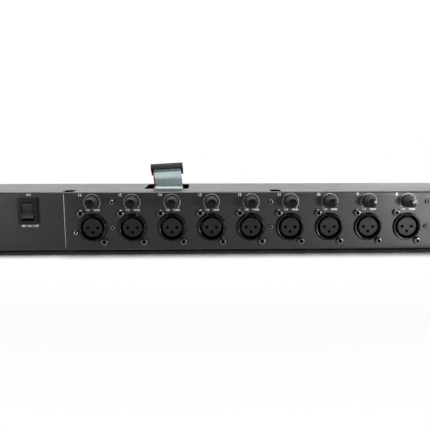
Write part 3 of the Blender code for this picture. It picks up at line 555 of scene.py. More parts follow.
class Look:
    """A Principled material; its methods add detail measured in metres of the piece's own space."""

    def __init__(self, name, colour, roughness, **inputs):
        self.material = bpy.data.materials.new(name)
        self.material.use_nodes = True
        self.tree = self.material.node_tree
        self.inputs = self.tree.nodes["Principled BSDF"].inputs
        self.colour = (*colour, 1)
        self.normal = None
        self.inputs["Base Color"].default_value = self.colour
        self.inputs["Roughness"].default_value = roughness
        for socket, value in inputs.items():
            self.inputs[socket.replace("_", " ")].default_value = value
        places = {0: self.add("TexCoord", {}, "Object"), 1: self.add("ObjectInfo", {}, "Random")}
        self.place = self.add("VectorMath", places, operation="ADD")

    def add(self, kind, inputs, output=0, **settings):
        return add_node(self.tree, kind, inputs, output, **settings)

    def drive(self, socket, source):
        self.tree.links.new(source, self.inputs[socket])

    def noise(self, size, detail=2.0, stretch=(1, 1, 1)):
        """Noise with features about size across, made longer along the axes that stretch names."""
        scale = [1 / (size * share) for share in stretch]
        place = self.add("Mapping", {"Vector": self.place, "Scale": scale})
        return self.add("TexNoise", {"Vector": place, "Scale": 1, "Detail": detail}, "Fac")

    def span(self, value, low, high, start=0.3, end=0.7):
        """Spreads the value's range from start to end over low to high."""
        return spread(self.tree, value, (start, end), (low, high))

    def both(self, first, second):
        """The product of two masks."""
        return calculated(self.tree, "MULTIPLY", first, second)

    def edges(self, radius):
        """A mask of the sharp edges, as wide as the radius."""
        softened = self.add("Bevel", {"Radius": radius}, "Normal", samples=EDGE_SAMPLES)
        normals = {0: softened, 1: self.add("NewGeometry", {}, "Normal")}
        facing = self.add("VectorMath", normals, "Value", operation="DOT_PRODUCT")
        return self.span(facing, 1, 0, *EDGE_FACING)

    def painted_shade_hollows(self, reach):
        """A mask of recesses, looking as far as the reach, for painting shade into them."""
        openness = self.add("AmbientOcclusion", {"Distance": reach}, "AO", samples=PAINTED_SHADE_SAMPLES)
        return self.span(openness, 1, 0, *PAINTED_SHADE_OPENNESS)

    def tint(self, mask, colour):
        """Lays a colour over the colour so far by a mask."""
        layers = {MIX_FACTOR: mask, MIX_A: self.colour, MIX_B: (*colour, 1)}
        self.colour = self.add("Mix", layers, MIX_RESULT, data_type="RGBA")
        self.drive("Base Color", self.colour)

    def gloss(self, roughness):
        self.drive("Roughness", roughness)

    def relief(self, height, depth):
        """Raises the surface by a height from 0 to 1 times a depth, on top of earlier relief."""
        inputs = {"Distance": depth, "Height": height}
        if self.normal:
            inputs["Normal"] = self.normal
        self.normal = self.add("Bump", inputs, "Normal")
        self.drive("Normal", self.normal)


def paint_look():
    look = Look("case_paint", (0.027, 0.027, 0.026), 0.46)
    look.tint(look.span(look.noise(60 * MM, 3), 0, 0.35), (0.035, 0.035, 0.034))
    look.tint(look.span(look.noise(0.5 * MM), 0, 0.4), (0.018, 0.018, 0.0175))
    wear = look.both(look.edges(0.5 * MM), look.span(look.noise(6 * MM, 4), 0, 0.5, 0.45, 0.7))
    look.tint(wear, (0.16, 0.16, 0.155))
    # Painted shade: the paint is darkened in hollows and where other parts stand close to it
    look.tint(look.painted_shade_hollows(1.2 * MM), (0.003, 0.003, 0.003))
    look.gloss(look.span(look.noise(12 * MM, 4), 0.43, 0.5))
    look.relief(look.noise(0.4 * MM), 0.006 * MM)
    look.relief(look.noise(2.5 * MM), 0.012 * MM)
    return look.material


def ink_look():
    look = Look("panel_ink", (0.88, 0.89, 0.89), 0.5)
    look.tint(look.span(look.noise(0.7 * MM, 3), 0, 0.35), (0.62, 0.63, 0.63))
    look.gloss(look.span(look.noise(1.5 * MM), 0.42, 0.6))
    return look.material


def moulded_look(name, colour, pale, roughness, specular, grain):
    """Moulded plastic with faint flow marks, fine grain, paler rubbed edges and painted shade in its
    recesses.
    """
    look = Look(name, colour, roughness, Specular_IOR_Level=specular)
    look.tint(look.span(look.noise(5 * MM, 3), 0, 0.3), pale)
    rubbed = look.both(look.edges(0.3 * MM), look.span(look.noise(2 * MM, 3), 0.1, 0.6))
    look.tint(rubbed, pale)
    # Painted shade: darker in the recesses
    look.tint(look.painted_shade_hollows(3 * MM), (0.002, 0.002, 0.002))
    look.gloss(look.span(look.noise(3 * MM, 4), roughness - 0.06, roughness + 0.08))
    look.relief(look.noise(0.25 * MM), grain)
    return look.material


def metal_look(name, colour, dull, roughness, stretch=(1, 1, 1)):
    """Plated or bare metal with dull patches, fine scratches and painted shade in its recesses."""
    look = Look(name, colour, roughness, Metallic=1.0)
    look.tint(look.span(look.noise(1.6 * MM, 4), 0, 0.7), dull)
    # Painted shade: darker in the recesses
    look.tint(look.painted_shade_hollows(2 * MM), (0.008, 0.008, 0.007))
    look.gloss(look.span(look.noise(0.8 * MM, 4), roughness - 0.08, roughness + 0.14))
    look.relief(look.noise(0.18 * MM, 2, stretch), 0.004 * MM)
    return look.material


def board_look():
    look = Look("circuit_board", (0.012, 0.075, 0.03), 0.35)
    traces = look.span(look.noise(3 * MM, 0, (4, 1, 1)), 0, 1, 0.5, 0.52)
    look.tint(traces, (0.02, 0.115, 0.045))
    look.tint(look.span(look.noise(9 * MM, 3), 0, 0.3), (0.008, 0.05, 0.02))
    look.gloss(look.span(look.noise(4 * MM, 3), 0.28, 0.42))
    look.relief(traces, 0.03 * MM)
    return look.material


def ribbon_look(name, colour, shade):
    look = Look(name, colour, 0.42)
    look.tint(look.span(look.noise(7 * MM, 3, (1, 1, 3)), 0, 0.5), shade)
    look.gloss(look.span(look.noise(2 * MM, 3), 0.36, 0.5))
    look.relief(look.noise(0.3 * MM, 2, (1, 1, 4)), 0.008 * MM)
    return look.material


FINE, MEDIUM, COARSE = mm(0.004, 0.008, 0.01)
# Moulded plastics as name, colour, paler colour, roughness, specular level and grain
MOULDED = {
    "inside": ("case_inside_painted_shade", (0.016, 0.016, 0.016), (0.024, 0.024, 0.024), 0.6, 0.1, FINE),
    "socket": ("socket_plastic", (0.005, 0.005, 0.0053), (0.016, 0.016, 0.017), 0.22, 0.28, FINE),
    "insert": ("insert_plastic", (0.025, 0.0247, 0.027), (0.04, 0.0395, 0.043), 0.46, 0.2, MEDIUM),
    "latch": ("latch_plastic", (0.003, 0.003, 0.003), (0.008, 0.008, 0.008), 0.5, 0.06, FINE),
    "knob": ("knob_plastic", (0.045, 0.0425, 0.035), (0.07, 0.066, 0.054), 0.5, 0.2, FINE),
    # Painted shade: a much darker copy of the knob plastic for the knob's face
    "knob_face": ("knob_face_painted_shade", (0.004, 0.004, 0.004), (0.008, 0.008, 0.008), 0.2, 0.2, FINE),
    "rocker": ("rocker_plastic", (0.058, 0.058, 0.056), (0.075, 0.075, 0.073), 0.45, 0.1, FINE),
    "housing": ("connector_plastic", (0.006, 0.006, 0.0065), (0.016, 0.016, 0.017), 0.42, 0.25, MEDIUM),
    "cover": ("connector_cover", (0.010, 0.0104, 0.011), (0.016, 0.0166, 0.0175), 0.42, 0.25, MEDIUM),
    "pot": ("pot_plastic", (0.02, 0.03, 0.05), (0.05, 0.06, 0.08), 0.45, 0.5, FINE),
    "chip": ("chip_epoxy", (0.014, 0.014, 0.015), (0.03, 0.03, 0.03), 0.55, 0.5, COARSE),
    "capacitor": ("capacitor_sleeve", (0.012, 0.016, 0.035), (0.04, 0.045, 0.07), 0.32, 0.5, FINE),
    # Painted shade: near-black faces put into the screws' recesses
    "recess": ("recess_painted_shade", (0.003, 0.003, 0.003), (0.006, 0.006, 0.006), 0.6, 0.05, FINE),
}
# Metals as name, colour, dull colour, roughness and how far the scratches are drawn out along each axis
METALS = {
    "zinc": ("zinc_steel", (0.18, 0.176, 0.156), (0.09, 0.088, 0.078), 0.28),
    "bright": ("bright_steel", (0.46, 0.45, 0.42), (0.24, 0.23, 0.21), 0.2),
    "rivet": ("dark_steel", (0.20, 0.20, 0.195), (0.12, 0.12, 0.115), 0.42),
    "bronze": ("bronze", (0.20, 0.165, 0.13), (0.12, 0.095, 0.07), 0.42),
    "dark_bronze": ("dark_bronze", (0.10, 0.085, 0.07), (0.05, 0.043, 0.035), 0.42),
    "bracket": ("bracket_steel", (0.56, 0.55, 0.53), (0.38, 0.37, 0.36), 0.38, (6, 1, 1)),
    "tin": ("tinned_contact", (0.66, 0.62, 0.52), (0.42, 0.38, 0.3), 0.3),
}
LOOKS = {
    "paint": paint_look(),
    "ink": ink_look(),
    "board": board_look(),
    "ribbon": ribbon_look("ribbon_grey", (0.41, 0.50, 0.52), (0.38, 0.465, 0.485)),
    "stripe": ribbon_look("ribbon_red", (0.24, 0.045, 0.035), (0.15, 0.03, 0.025)),
    **{key: moulded_look(*values) for key, values in MOULDED.items()},
    **{key: metal_look(*values) for key, values in METALS.items()},
}


# Case

def rivet_spots(bracket):
    x = middle(f"bracket_{bracket}").x
    return {"lower": Vector((x, PANEL_Y, SOCKET_Z)), "upper": Vector((x, PANEL_Y, KNOB_Z))}


def add_panel_holes(bm):
    """The round holes in the front panel."""
    def drill(radius, spot, steps=SMALL_STEPS):
        add_rod(bm, radius, -REACH, SHEET + REACH, spot, steps)

    for number, spot in SOCKET_SPOTS.items():
        drill(BEZEL_RADIUS + GAP, spot, ROUND_STEPS)
        drill(SHAFT_HOLE_RADIUS, KNOB_SPOTS[number])
        for ear in EARS.values():
            drill(SOCKET_SCREW["shank"] + GAP, spot + ear)
    for bracket in RIVET_LOOKS:
        for spot in rivet_spots(bracket).values():
            drill(RIVET_RADIUS + GAP, spot)
    drill(EARTH_SCREW["shank"] + GAP, on_panel("earth_screw"))


def add_openings(bm):
    """The hook slots and the lead's exit in the top, and the switch's hole in the panel."""
    below, above = CASE_HIGH.z - SHEET - REACH, CASE_HIGH.z + REACH
    half = SLOT_WIDTH / 2
    outlines = [((x - half, x + half), SLOT_DEPTH, SLOT_CORNER) for x in SLOT_CENTRES]
    outlines.append((EXIT_X, EXIT_DEPTH, EXIT_CORNER))
    for (left, right), (front, back), corner in outlines:
        centre = Vector(((left + right) / 2, PANEL_Y + (front + back) / 2, 0))
        outline = rectangle(right - left, back - front, corner)
        add_prism(bm, outline, below, above, Matrix.Translation(centre))
    width, height = (size + 2 * GAP for size in SWITCH_CAN)
    turn = Matrix.Translation(SWITCH_SPOT) @ UPRIGHT
    add_prism(bm, rectangle(width, height, SLOT_CORNER), -REACH, SHEET + REACH, turn)


def add_rear_holes(bm, front, back, face=PANEL_Y):
    """The cover's screw holes, between two depths behind a face."""
    for index in COVER_SCREWS:
        spot = middle(f"cover_screw_{index}")
        add_rod(bm, SMALL_SCREW["shank"] + GAP, front, back, (spot.x, face, spot.z))


def add_fold_seams(bm):
    """The narrow joints where the ends' flanges meet the top and bottom."""
    reach = Vector((FOLD_SEAM_DEPTH, 0, FOLD_SEAM_WIDTH / 2))
    for x in (CASE_LOW.x, CASE_HIGH.x):
        for z in (CASE_LOW.z + FOLD_SEAM_INSET, CASE_HIGH.z - FOLD_SEAM_INSET):
            start = Vector((x, CASE_LOW.y + FOLD_SEAM_INSET, z))
            add_block(bm, start - reach, Vector((x, CASE_HIGH.y + REACH, z)) + reach)


def case_mesh():
    """The folded tray: panel, top, bottom and ends in one sheet, with lips that carry the rear cover."""
    blank = drawn(add_block, CASE_LOW, CASE_HIGH)
    rear = CASE_HIGH.y - OVERLAP
    folds = [edge for edge in blank.edges if any(vertex.co.y < rear for vertex in edge.verts)]
    soften(blank, folds, BEND_RADIUS, BEND_STEPS)

    def inside(inset, front, back):
        low = (CASE_LOW.x + inset, PANEL_Y + front, CASE_LOW.z + inset)
        high = (CASE_HIGH.x - inset, PANEL_Y + back, CASE_HIGH.z - inset)
        return drawn(add_block, low, high)

    lip_front = LIP_BACK - SHEET
    cutters = [
        inside(SHEET, SHEET, lip_front),
        inside(SHEET + LIP_WIDTH, lip_front - REACH, LIP_BACK + REACH),
        inside(SHEET, LIP_BACK, CASE_HIGH.y - PANEL_Y + REACH),
        drawn(add_panel_holes),
        drawn(add_openings),
        drawn(add_rear_holes, lip_front - REACH, LIP_BACK + REACH),
        drawn(add_fold_seams),
    ]
    return carved(blank, cut=cutters, edge=CASE_EDGE)


def make_case():
    """The case, with painted shade as a darker paint inside and on its cut edges, and its rear cover."""
    def is_inside(centre):
        return min(*(centre - CASE_LOW), *(CASE_HIGH - centre)) > SKIN

    shell = case_mesh()
    # Painted shade: the inside and the cut edges get a darker paint
    two_toned(shell, "paint", "inside", is_inside)
    piece("case_shell", shell, "paint", Vector(), "case_paint", "chassis")
    low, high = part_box("rear_cover")
    holes = drawn(add_rear_holes, low.y - REACH, high.y + REACH, face=0)
    cover = carved(drawn(add_block, low, high), cut=[holes], edge=COVER_EDGE)
    piece("rear_plate", cover, "paint", Vector(), "case_paint", "rear_cover")


# Fasteners

def cross():
    """A cross recess's outline in shares of the head's radius."""
    arm, half = CROSS_ARM, CROSS_HALF_WIDTH
    corners = [(half, half), (arm, half), (arm, -half), (half, -half), (half, -arm), (-half, -arm)]
    return corners + [(-x, -y) for x, y in corners]


def hexagon():
    """A six-sided recess's outline in shares of the head's radius."""
    turns = [math.tau * corner / 6 for corner in range(6)]
    return [(HEX_CORNER * math.cos(turn), HEX_CORNER * math.sin(turn)) for turn in turns]


def screw_mesh(look, recess_outline, head, tall, shank, end):
    """A screw whose rounded head stands in front of depth 0, with a tapered recess whose faces are painted
    black as shade.
    """
    blank = turned([
        (0, end, 0),
        (shank, end, 0),
        (shank, 0, 0),
        (head, 0, 0),
        (head, -tall, HEAD_ROUND * tall),
        (0, -tall, 0),
    ])
    recess = bmesh.new()
    outline = [(head * x, head * y) for x, y in recess_outline]
    foot, _ = add_prism(recess, outline, -tall + RECESS_DEPTH * tall, -tall - REACH)
    bmesh.ops.scale(recess, vec=(RECESS_TAPER, 1, RECESS_TAPER), verts=foot.verts)
    mesh = carved(blank, cut=[recess])
    reach = max(math.hypot(*corner) for corner in outline)
    # Painted shade: the recess faces get the near-black look
    darken_as_painted_shade(mesh, look, "recess", reach, -tall + RECESS_LIP * tall, 0)
    return mesh


def rivet_mesh():
    """A set hollow rivet: a domed head with a deep eye."""
    face = -RIVET_HEAD_HEIGHT
    return meshed(turned([
        (0, EAR_DEPTH[0], 0),
        (RIVET_RADIUS, EAR_DEPTH[0], 0),
        (RIVET_RADIUS, 0, 0),
        (RIVET_HEAD_RADIUS, 0, 0),
        (RIVET_HEAD_RADIUS, face, RIVET_HEAD_ROUND),
        (RIVET_EYE_RADIUS, face, RIVET_EYE_ROUND),
        (RIVET_EYE_RADIUS, face + RIVET_EYE_DEPTH, 0),
        (0, face + RIVET_EYE_DEPTH, 0),
    ]))


def make_small_screws():
    """The cover's screws at the back, and the earth screw in the panel."""
    mesh = screw_mesh("zinc", cross(), **SMALL_SCREW)
    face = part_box("rear_cover")[1].y
    for index in COVER_SCREWS:
        node = f"cover_screw_{index}"
        spot = middle(node)
        turn = Matrix.Rotation(math.pi, 4, "Z") @ Matrix.Rotation(index * SCREW_TURN, 4, "Y")
        place = Matrix.Translation((spot.x, face, spot.z)) @ turn
        piece(f"rear_screw_{index}", mesh, "zinc", place, "zinc_screw", node)
    bright = screw_mesh("bright", hexagon(), **EARTH_SCREW)
    place = Matrix.Translation(on_panel("earth_screw")) @ Matrix.Rotation(SCREW_TURN, 4, "Y")
    piece("ground_screw", bright, "bright", place, "bright_screw", "earth_screw")


def bracket_mesh(node):
    """A bracket folded to a channel, from behind the panel to the board."""
    low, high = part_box(node)
    low.y = PANEL_Y + EAR_DEPTH[0]
    inner = BRACKET_BEND - BRACKET_SHEET
    section = rounded([
        (low.x, low.y, BRACKET_BEND),
        (high.x, low.y, 0),
        (high.x, low.y + BRACKET_SHEET, 0),
        (low.x + BRACKET_SHEET, low.y + BRACKET_SHEET, inner),
        (low.x + BRACKET_SHEET, high.y - BRACKET_SHEET, inner),
        (high.x, high.y - BRACKET_SHEET, 0),
        (high.x, high.y, 0),
        (low.x, high.y, BRACKET_BEND),
    ])
    return carved(drawn(add_prism, section, low.z, high.z, Matrix()), edge=BRACKET_EDGE)


def make_brackets():
    """The brackets between panel and board, each with its two rivets."""
    for name, look in RIVET_LOOKS.items():
        node = f"bracket_{name}"
        piece(f"board_bracket_{name}", bracket_mesh(node), "bracket", Vector(), "bracket_steel", node)
        rivet = rivet_mesh()
        for level, spot in rivet_spots(name).items():
            piece(f"rivet_{name}_{level}", rivet, look, spot, "bracket_steel")


# Sockets

def ear_bar():
    """The flange that carries both screws, with the socket's wall left out of its middle."""
    length = 2 * (math.hypot(EAR_X, EAR_Z) + EAR_RADIUS)
    outline = rectangle(length, 2 * EAR_RADIUS, EAR_ROUND * EAR_RADIUS)
    slope = Matrix.Rotation(math.atan2(-EAR_Z, EAR_X), 4, "Z")
    front, back = EAR_DEPTH
    bar = drawn(add_prism, outline, front, back, UPRIGHT @ slope)
    wall_middle = (BORE_RADIUS + BEZEL_RADIUS) / 2
    hole = drawn(add_rod, wall_middle, front - REACH, back + REACH, steps=ROUND_STEPS)
    return carved(bar, cut=[hole])


def latch_corners():
    """The latch tab's foot and top as (half width, height); its top corners lie on the bezel's rim."""
    half_top = LATCH_TOP_WIDTH / 2
    top = math.sqrt(BEZEL_RADIUS**2 - half_top**2)
    return (LATCH_FOOT_WIDTH / 2, top - LATCH_HEIGHT), (half_top, top)


def socket_mesh(rear):
    """A socket's shell with its bezel and ears, the latch's slot and the screws' holes."""
    profile = rounded([
        (BOSS_HOLE_RADIUS, BORE_DEPTH, 0),
        (BOSS_HOLE_RADIUS, rear, 0),
        (BEZEL_RADIUS, rear, BEZEL_ROUND),
        (BEZEL_RADIUS, -BEZEL_PROUD, BEZEL_ROUND),
        (BORE_RADIUS, -BEZEL_PROUD, BORE_ROUND),
        (BORE_RADIUS, BORE_DEPTH, 0),
    ])
    ring = drawn(add_turned, profile, ROUND_STEPS, closed=True)
    (half_foot, foot), (half_top, top) = latch_corners()
    low, high = foot - OVERLAP, BEZEL_RADIUS + REACH
    side = half_top + GAP
    outline = [(-half_foot, low), (half_foot, low), (side, top), (side, high), (-side, high), (-side, top)]
    slot = drawn(add_prism, outline, -BEZEL_PROUD - REACH, LATCH_SLOT_BACK)
    holes = bmesh.new()
    for ear in EARS.values():
        add_rod(holes, SOCKET_SCREW["shank"] + SLIVER, 0, EAR_DEPTH[1] + REACH, ear)
    return carved(ring, [ear_bar()], [slot, holes])


def insert_mesh(radius, front, rear):
    """The contact carrier: a block with a raised rim, three holes and a boss through the shell's rear."""
    seat = BORE_DEPTH - GAP
    floor = front + INSERT_RIM_HEIGHT
    block = turned([
        (0, rear, 0),
        (INSERT_BOSS_RADIUS, rear, INSERT_ROUND),
        (INSERT_BOSS_RADIUS, seat, 0),
        (radius, seat, 0),
        (radius, front, INSERT_ROUND),
        (radius - INSERT_RIM, front, INSERT_RIM_ROUND),
        (radius - INSERT_RIM - INSERT_RIM_HEIGHT, floor, 0),
        (0, floor, 0),
    ], ROUND_STEPS)
    holes = bmesh.new()
    for spot in CONTACT_SPOTS:
        add_rod(holes, CONTACT_HOLE_RADIUS, front - REACH, CONTACT_HOLE_DEPTH, spot)
    return carved(block, cut=[holes], edge=INSERT_EDGE)


def contacts_mesh(front):
    """The three metal contact tubes, set back in the carrier's holes."""
    tubes = bmesh.new()
    inner, outer = CONTACT_RADIUS - CONTACT_WALL, CONTACT_RADIUS
    start, end = front + CONTACT_SET_BACK, CONTACT_HOLE_DEPTH
    for spot in CONTACT_SPOTS:
        profile = [(inner, start), (outer, start), (outer, end), (inner, end)]
        add_turned(tubes, profile, SMALL_STEPS, spot, closed=True)
    return meshed(tubes)


def latch_mesh():
    """The release tab, with rounded edges and grip ridges across its face."""
    (half_foot, foot), (half_top, top) = latch_corners()
    outline = [(-half_foot, foot), (half_foot, foot), (half_top, top), (-half_top, top)]
    tab = drawn(add_prism, outline, *LATCH_DEPTH)
    soften(tab, tab.edges[:], LATCH_EDGE)
    grooves = bmesh.new()
    reach = Vector((half_top, *LATCH_GROOVE))
    for offset in row(LATCH_RIDGES, LATCH_RIDGE_PITCH):
        centre = Vector((0, LATCH_DEPTH[0], top - LATCH_HEIGHT / 2 + offset))
        add_block(grooves, centre - reach, centre + reach)
    return carved(tab, cut=[grooves])


def make_sockets():
    """The ten sockets, each with its contacts, latch and two screws."""
    insert_low, insert_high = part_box("xlr_insert_16")
    front, rear = insert_low.y - PANEL_Y, insert_high.y - PANEL_Y
    shell = socket_mesh(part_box("xlr_shell_16")[1].y - PANEL_Y)
    insert = insert_mesh((insert_high.x - insert_low.x) / 2, front, rear)
    contacts = contacts_mesh(front)
    latch = latch_mesh()
    screw = screw_mesh("zinc", hexagon(), **SOCKET_SCREW)
    for number, spot in SOCKET_SPOTS.items():
        piece(f"socket_{number}", shell, "socket", spot, "socket_plastic", f"xlr_shell_{number}")
        piece(f"contact_block_{number}", insert, "insert", spot, "insert_plastic", f"xlr_insert_{number}")
        piece(f"contacts_{number}", contacts, "tin", spot, "bright_screw")
        node, body = f"xlr_latch_{number}", f"latch_{number}"
        piece(f"latch_tab_{number}", latch, "latch", spot, "socket_plastic", node, body=body)
        for way, (side, ear) in zip((-1, 1), EARS.items()):
            turn = Matrix.Rotation((int(number) * 2 + way) * SCREW_TURN, 4, "Y")
            place = Matrix.Translation(spot + ear) @ turn
            piece(f"socket_screw_{number}_{side}", screw, "zinc", place, "zinc_screw")


# Knobs

def flute(angle, depth):
    """The share of the knob's radius left by its flutes, which end before the skirt and the face."""
    if not FLUTE_FRONT < depth < FLUTE_BACK:
        return 1
    return 1 - FLUTE_DEPTH * (0.5 + 0.5 * math.cos(FLUTES * angle)) ** FLUTE_SHARPNESS


def knob_mesh():
    """A fluted knob on its shaft, with a domed face and a sunk pointer line that points up at rest."""
    rim = KNOB_FACE + KNOB_DOME
    taper = (KNOB_BACK_RADIUS - KNOB_FACE_RADIUS) / (KNOB_BACK - rim)

    def side(depth):
        return KNOB_BACK_RADIUS - taper * (KNOB_BACK - depth)

    flute_ends = [FLUTE_BACK, FLUTE_BACK - SLIVER, FLUTE_FRONT + SLIVER, FLUTE_FRONT]
    dome_radius = KNOB_FACE_RADIUS - KNOB_RIM
    dome = [step / DOME_STEPS for step in range(DOME_STEPS, -1, -1)]
    profile = rounded([
        (0, SHAFT_END, 0),
        (SHAFT_RADIUS, SHAFT_END, SHAFT_ROUND),
        (SHAFT_RADIUS, KNOB_BACK, 0),
        (KNOB_BACK_RADIUS, KNOB_BACK, KNOB_BACK_ROUND),
        *((side(depth), depth, 0) for depth in flute_ends),
        (side(rim), rim, KNOB_FACE_ROUND),
        *((dome_radius * share, KNOB_FACE + KNOB_DOME * share**2, 0) for share in dome),
    ])
    knob = drawn(add_turned, profile, FLUTES * FLUTE_STEPS, flute=flute)
    half = POINTER_WIDTH / 2
    low = (-half, KNOB_FACE - REACH, KNOB_FACE_RADIUS - POINTER_LENGTH)
    high = (half, KNOB_FACE + POINTER_DEPTH, KNOB_FACE_RADIUS + REACH)
    return carved(knob, cut=[drawn(add_block, low, high)])


def make_knobs():
    knob = knob_mesh()
    inside = KNOB_FACE_RADIUS - KNOB_RIM / 2
    # Painted shade: the knob's face gets the much darker copy of its plastic
    darken_as_painted_shade(knob, "knob", "knob_face", inside, KNOB_FACE - REACH, KNOB_FACE + REACH)
    for number, spot in KNOB_SPOTS.items():
        node, body = f"trim_knob_{number}", f"knob_{number}"
        piece(f"gain_knob_{number}", knob, "knob", spot, "knob_plastic", node, body=body)


# Switch

def switch_mesh():
    """The switch's bezel, body and terminals, with the well that the rocker tilts in."""
    front, back = SWITCH_BEZEL_DEPTH
    bezel = drawn(add_prism, rectangle(*SWITCH_BEZEL, SWITCH_BEZEL_ROUND), front, back)
    rim = [edge for edge in bezel.edges if all(vertex.co.y < front + ON_AXIS for vertex in edge.verts)]
    soften(bezel, rim, SWITCH_RIM, ARC_STEPS)
    can = drawn(add_prism, rectangle(*SWITCH_CAN, SLOT_CORNER), front + OVERLAP, SWITCH_CAN_BACK)
    terminals = bmesh.new()
    width, height = TERMINAL_SIZE
    blade = Vector((width / 2, 0, height / 2))
    for z in (-TERMINAL_OFFSET, TERMINAL_OFFSET):
        start, end = Vector((0, SWITCH_CAN_BACK - OVERLAP, z)), Vector((0, TERMINAL_BACK, z))
        add_block(terminals, start - blade, end + blade)
    well = drawn(add_prism, rectangle(*SWITCH_WELL, SLOT_CORNER), front - REACH, SWITCH_WELL_BACK)
    return carved(bezel, [can, terminals], [well], SWITCH_EDGE)


def rocker_mesh():
    """The rocker about its pivot, with a shallow valley between its two ends and its pivot pins."""
    rocker = bmesh.new()
    half = ROCKER_WIDTH / 2
    caps = add_prism(rocker, rounded(ROCKER_OUTLINE), -half, half, SIDEWAYS)
    soften(rocker, {edge for cap in caps for edge in cap.edges}, ROCKER_EDGE, ARC_STEPS)
    reach = half + ROCKER_PIN_REACH
    pins = drawn(add_rod, ROCKER_PIN_RADIUS, -reach, reach)
    bmesh.ops.rotate(pins, matrix=Matrix.Rotation(math.pi / 2, 3, "Z"), verts=pins.verts)
    return carved(rocker, [pins])


def make_switch():
    housing = switch_mesh()
    piece("switch_housing", housing, "socket", SWITCH_SPOT, "socket_plastic", "phantom_switch_body")
    pivot = next(joint["pos_m"] for joint in frame["joints"] if joint["name"] == "rocker_tilt")
    place = Matrix.Translation(pivot) @ Matrix.Rotation(-ROCKER_TILT, 4, "X")
    rocker = rocker_mesh()
    piece("rocker_paddle", rocker, "rocker", place, "rocker_plastic", "phantom_rocker", body="rocker")


# Board

def chip_meshes(spots):
    """The chips' bodies, and the rows of legs above and below them."""
    bodies, legs = bmesh.new(), bmesh.new()
    width, depth, height = CHIP_SIZE
    half = Vector((width / 2, 0, height / 2))
    lift, back = Vector((0, CHIP_LIFT, 0)), Vector((0, CHIP_LIFT + depth - OVERLAP, 0))
    size = Vector((CHIP_LEG_WIDTH / 2, 0, CHIP_LEG_WIDTH / 2))
    for spot in spots:
        add_block(bodies, spot + lift - half, spot + back + half, CHIP_EDGE)
        for x in row(CHIP_LEGS, CHIP_LEG_PITCH):
            for z in row(2, height + CHIP_LEG_WIDTH):
                foot = spot + Vector((x, 0, z))
                add_block(legs, foot - size, foot + size + Vector((0, depth / 2, 0)), CHIP_LEG_EDGE)
    return meshed(bodies), meshed(legs)


def capacitor_mesh():
    """A capacitor's can, with a rolled groove near its foot and a scored, rounded end."""
    start, deepest, end = (share * CAPACITOR_LENGTH for share in CAPACITOR_GROOVE)
    radius, waist = CAPACITOR_RADIUS, CAPACITOR_RADIUS - CAPACITOR_WAIST
    score = CAPACITOR_LENGTH - CAPACITOR_WAIST / 2
    return meshed(turned([
        (0, 0, 0),
        (radius, 0, CAPACITOR_WAIST),
        (radius, start, CAPACITOR_WAIST),
        (waist, deepest, CAPACITOR_WAIST),
        (radius, end, CAPACITOR_WAIST),
        (radius, CAPACITOR_LENGTH, CAPACITOR_WAIST),
        (waist, CAPACITOR_LENGTH, 0),
        (waist, score, 0),
        (0, score, 0),
    ]))


def pots_mesh():
    """The potentiometers in front of the board, with bores for the knobs' shafts."""
    pots, bores = bmesh.new(), bmesh.new()
    half = Vector(POT_SIZE) / 2
    for spot in KNOB_SPOTS.values():
        centre = Vector((spot.x, PANEL_Y + BOARD_FRONT - GAP - half.y, spot.z))
        add_block(pots, centre - half, centre + half + Vector((0, GAP, 0)), POT_EDGE)
        add_rod(bores, SHAFT_RADIUS + GAP, 0, SHAFT_END + GAP, spot)
    return carved(pots, cut=[bores])


def make_board():
    """The board with its potentiometers, and chips and capacitors where the lead's exit leaves room."""
    low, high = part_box("preamp_board")
    front, back = PANEL_Y + BOARD_FRONT, PANEL_Y + BOARD_BACK
    plate = carved(drawn(add_block, (low.x, front, low.z), (high.x, back, high.z)), edge=BOARD_EDGE)
    piece("board_plate", plate, "board", Vector(), "board", "preamp_board")
    piece("board_pots", pots_mesh(), "pot", Vector(), "board")
    free = [spot.x for spot in KNOB_SPOTS.values() if not EXIT_X[0] < spot.x < EXIT_X[1]]
    bodies, legs = chip_meshes([Vector((x, back, CHIP_Z)) for x in free])
    piece("board_chips", bodies, "chip", Vector(), "board")
    piece("board_chip_legs", legs, "tin", Vector(), "board")
    capacitor = capacitor_mesh()
    for index, x in enumerate(free):
        for way, side in ((-1, "left"), (1, "right")):
            spot = Vector((x + way * CAPACITOR_OFFSET, back, CAPACITOR_Z))
            piece(f"capacitor_{index}_{side}", capacitor, "capacitor", spot, "board")


# Ribbon lead

def smooth_route(points, count):
    """Points at even steps of a Catmull-Rom curve through the route's own points."""
    ends = [2 * points[0] - points[1], *points, 2 * points[-1] - points[-2]]
    spans = len(points) - 1
    route = []
    for station in range(count):
        at = station * spans / (count - 1)
        span = min(int(at), spans - 1)
        t = at - span
        a, b, c, d = ends[span : span + 4]
        curve = 2 * b + (c - a) * t + (2 * a - 5 * b + 4 * c - d) * t**2 + (3 * b - a - 3 * c + d) * t**3
        route.append(curve / 2)
    return route


def plug_frame():
    """Where the free connector sits: x along it, -y out of its cover and z along the ribbon."""
    turn = Matrix.Rotation(-PLUG_ROLL, 4, "Y") @ Matrix.Rotation(-PLUG_LEAN, 4, "X")
    return Matrix.Translation(RIBBON_EXIT + PLUG_OFFSET) @ turn


def conductor_section(first, last):
    """(across, half thickness) points over the conductors from first to last: round cores and thin webs."""
    points = []
    for centre in row(CONDUCTORS, CONDUCTOR_PITCH)[first:last]:
        for share in CONDUCTOR_SAMPLES:
            off = share * CONDUCTOR_PITCH
            round_part = math.sqrt(max(CONDUCTOR_RADIUS**2 - off**2, 0))
            points.append((centre + off, max(CONDUCTOR_WEB, round_part)))
    points.append(((last - CONDUCTORS / 2) * CONDUCTOR_PITCH, CONDUCTOR_WEB))
    return points


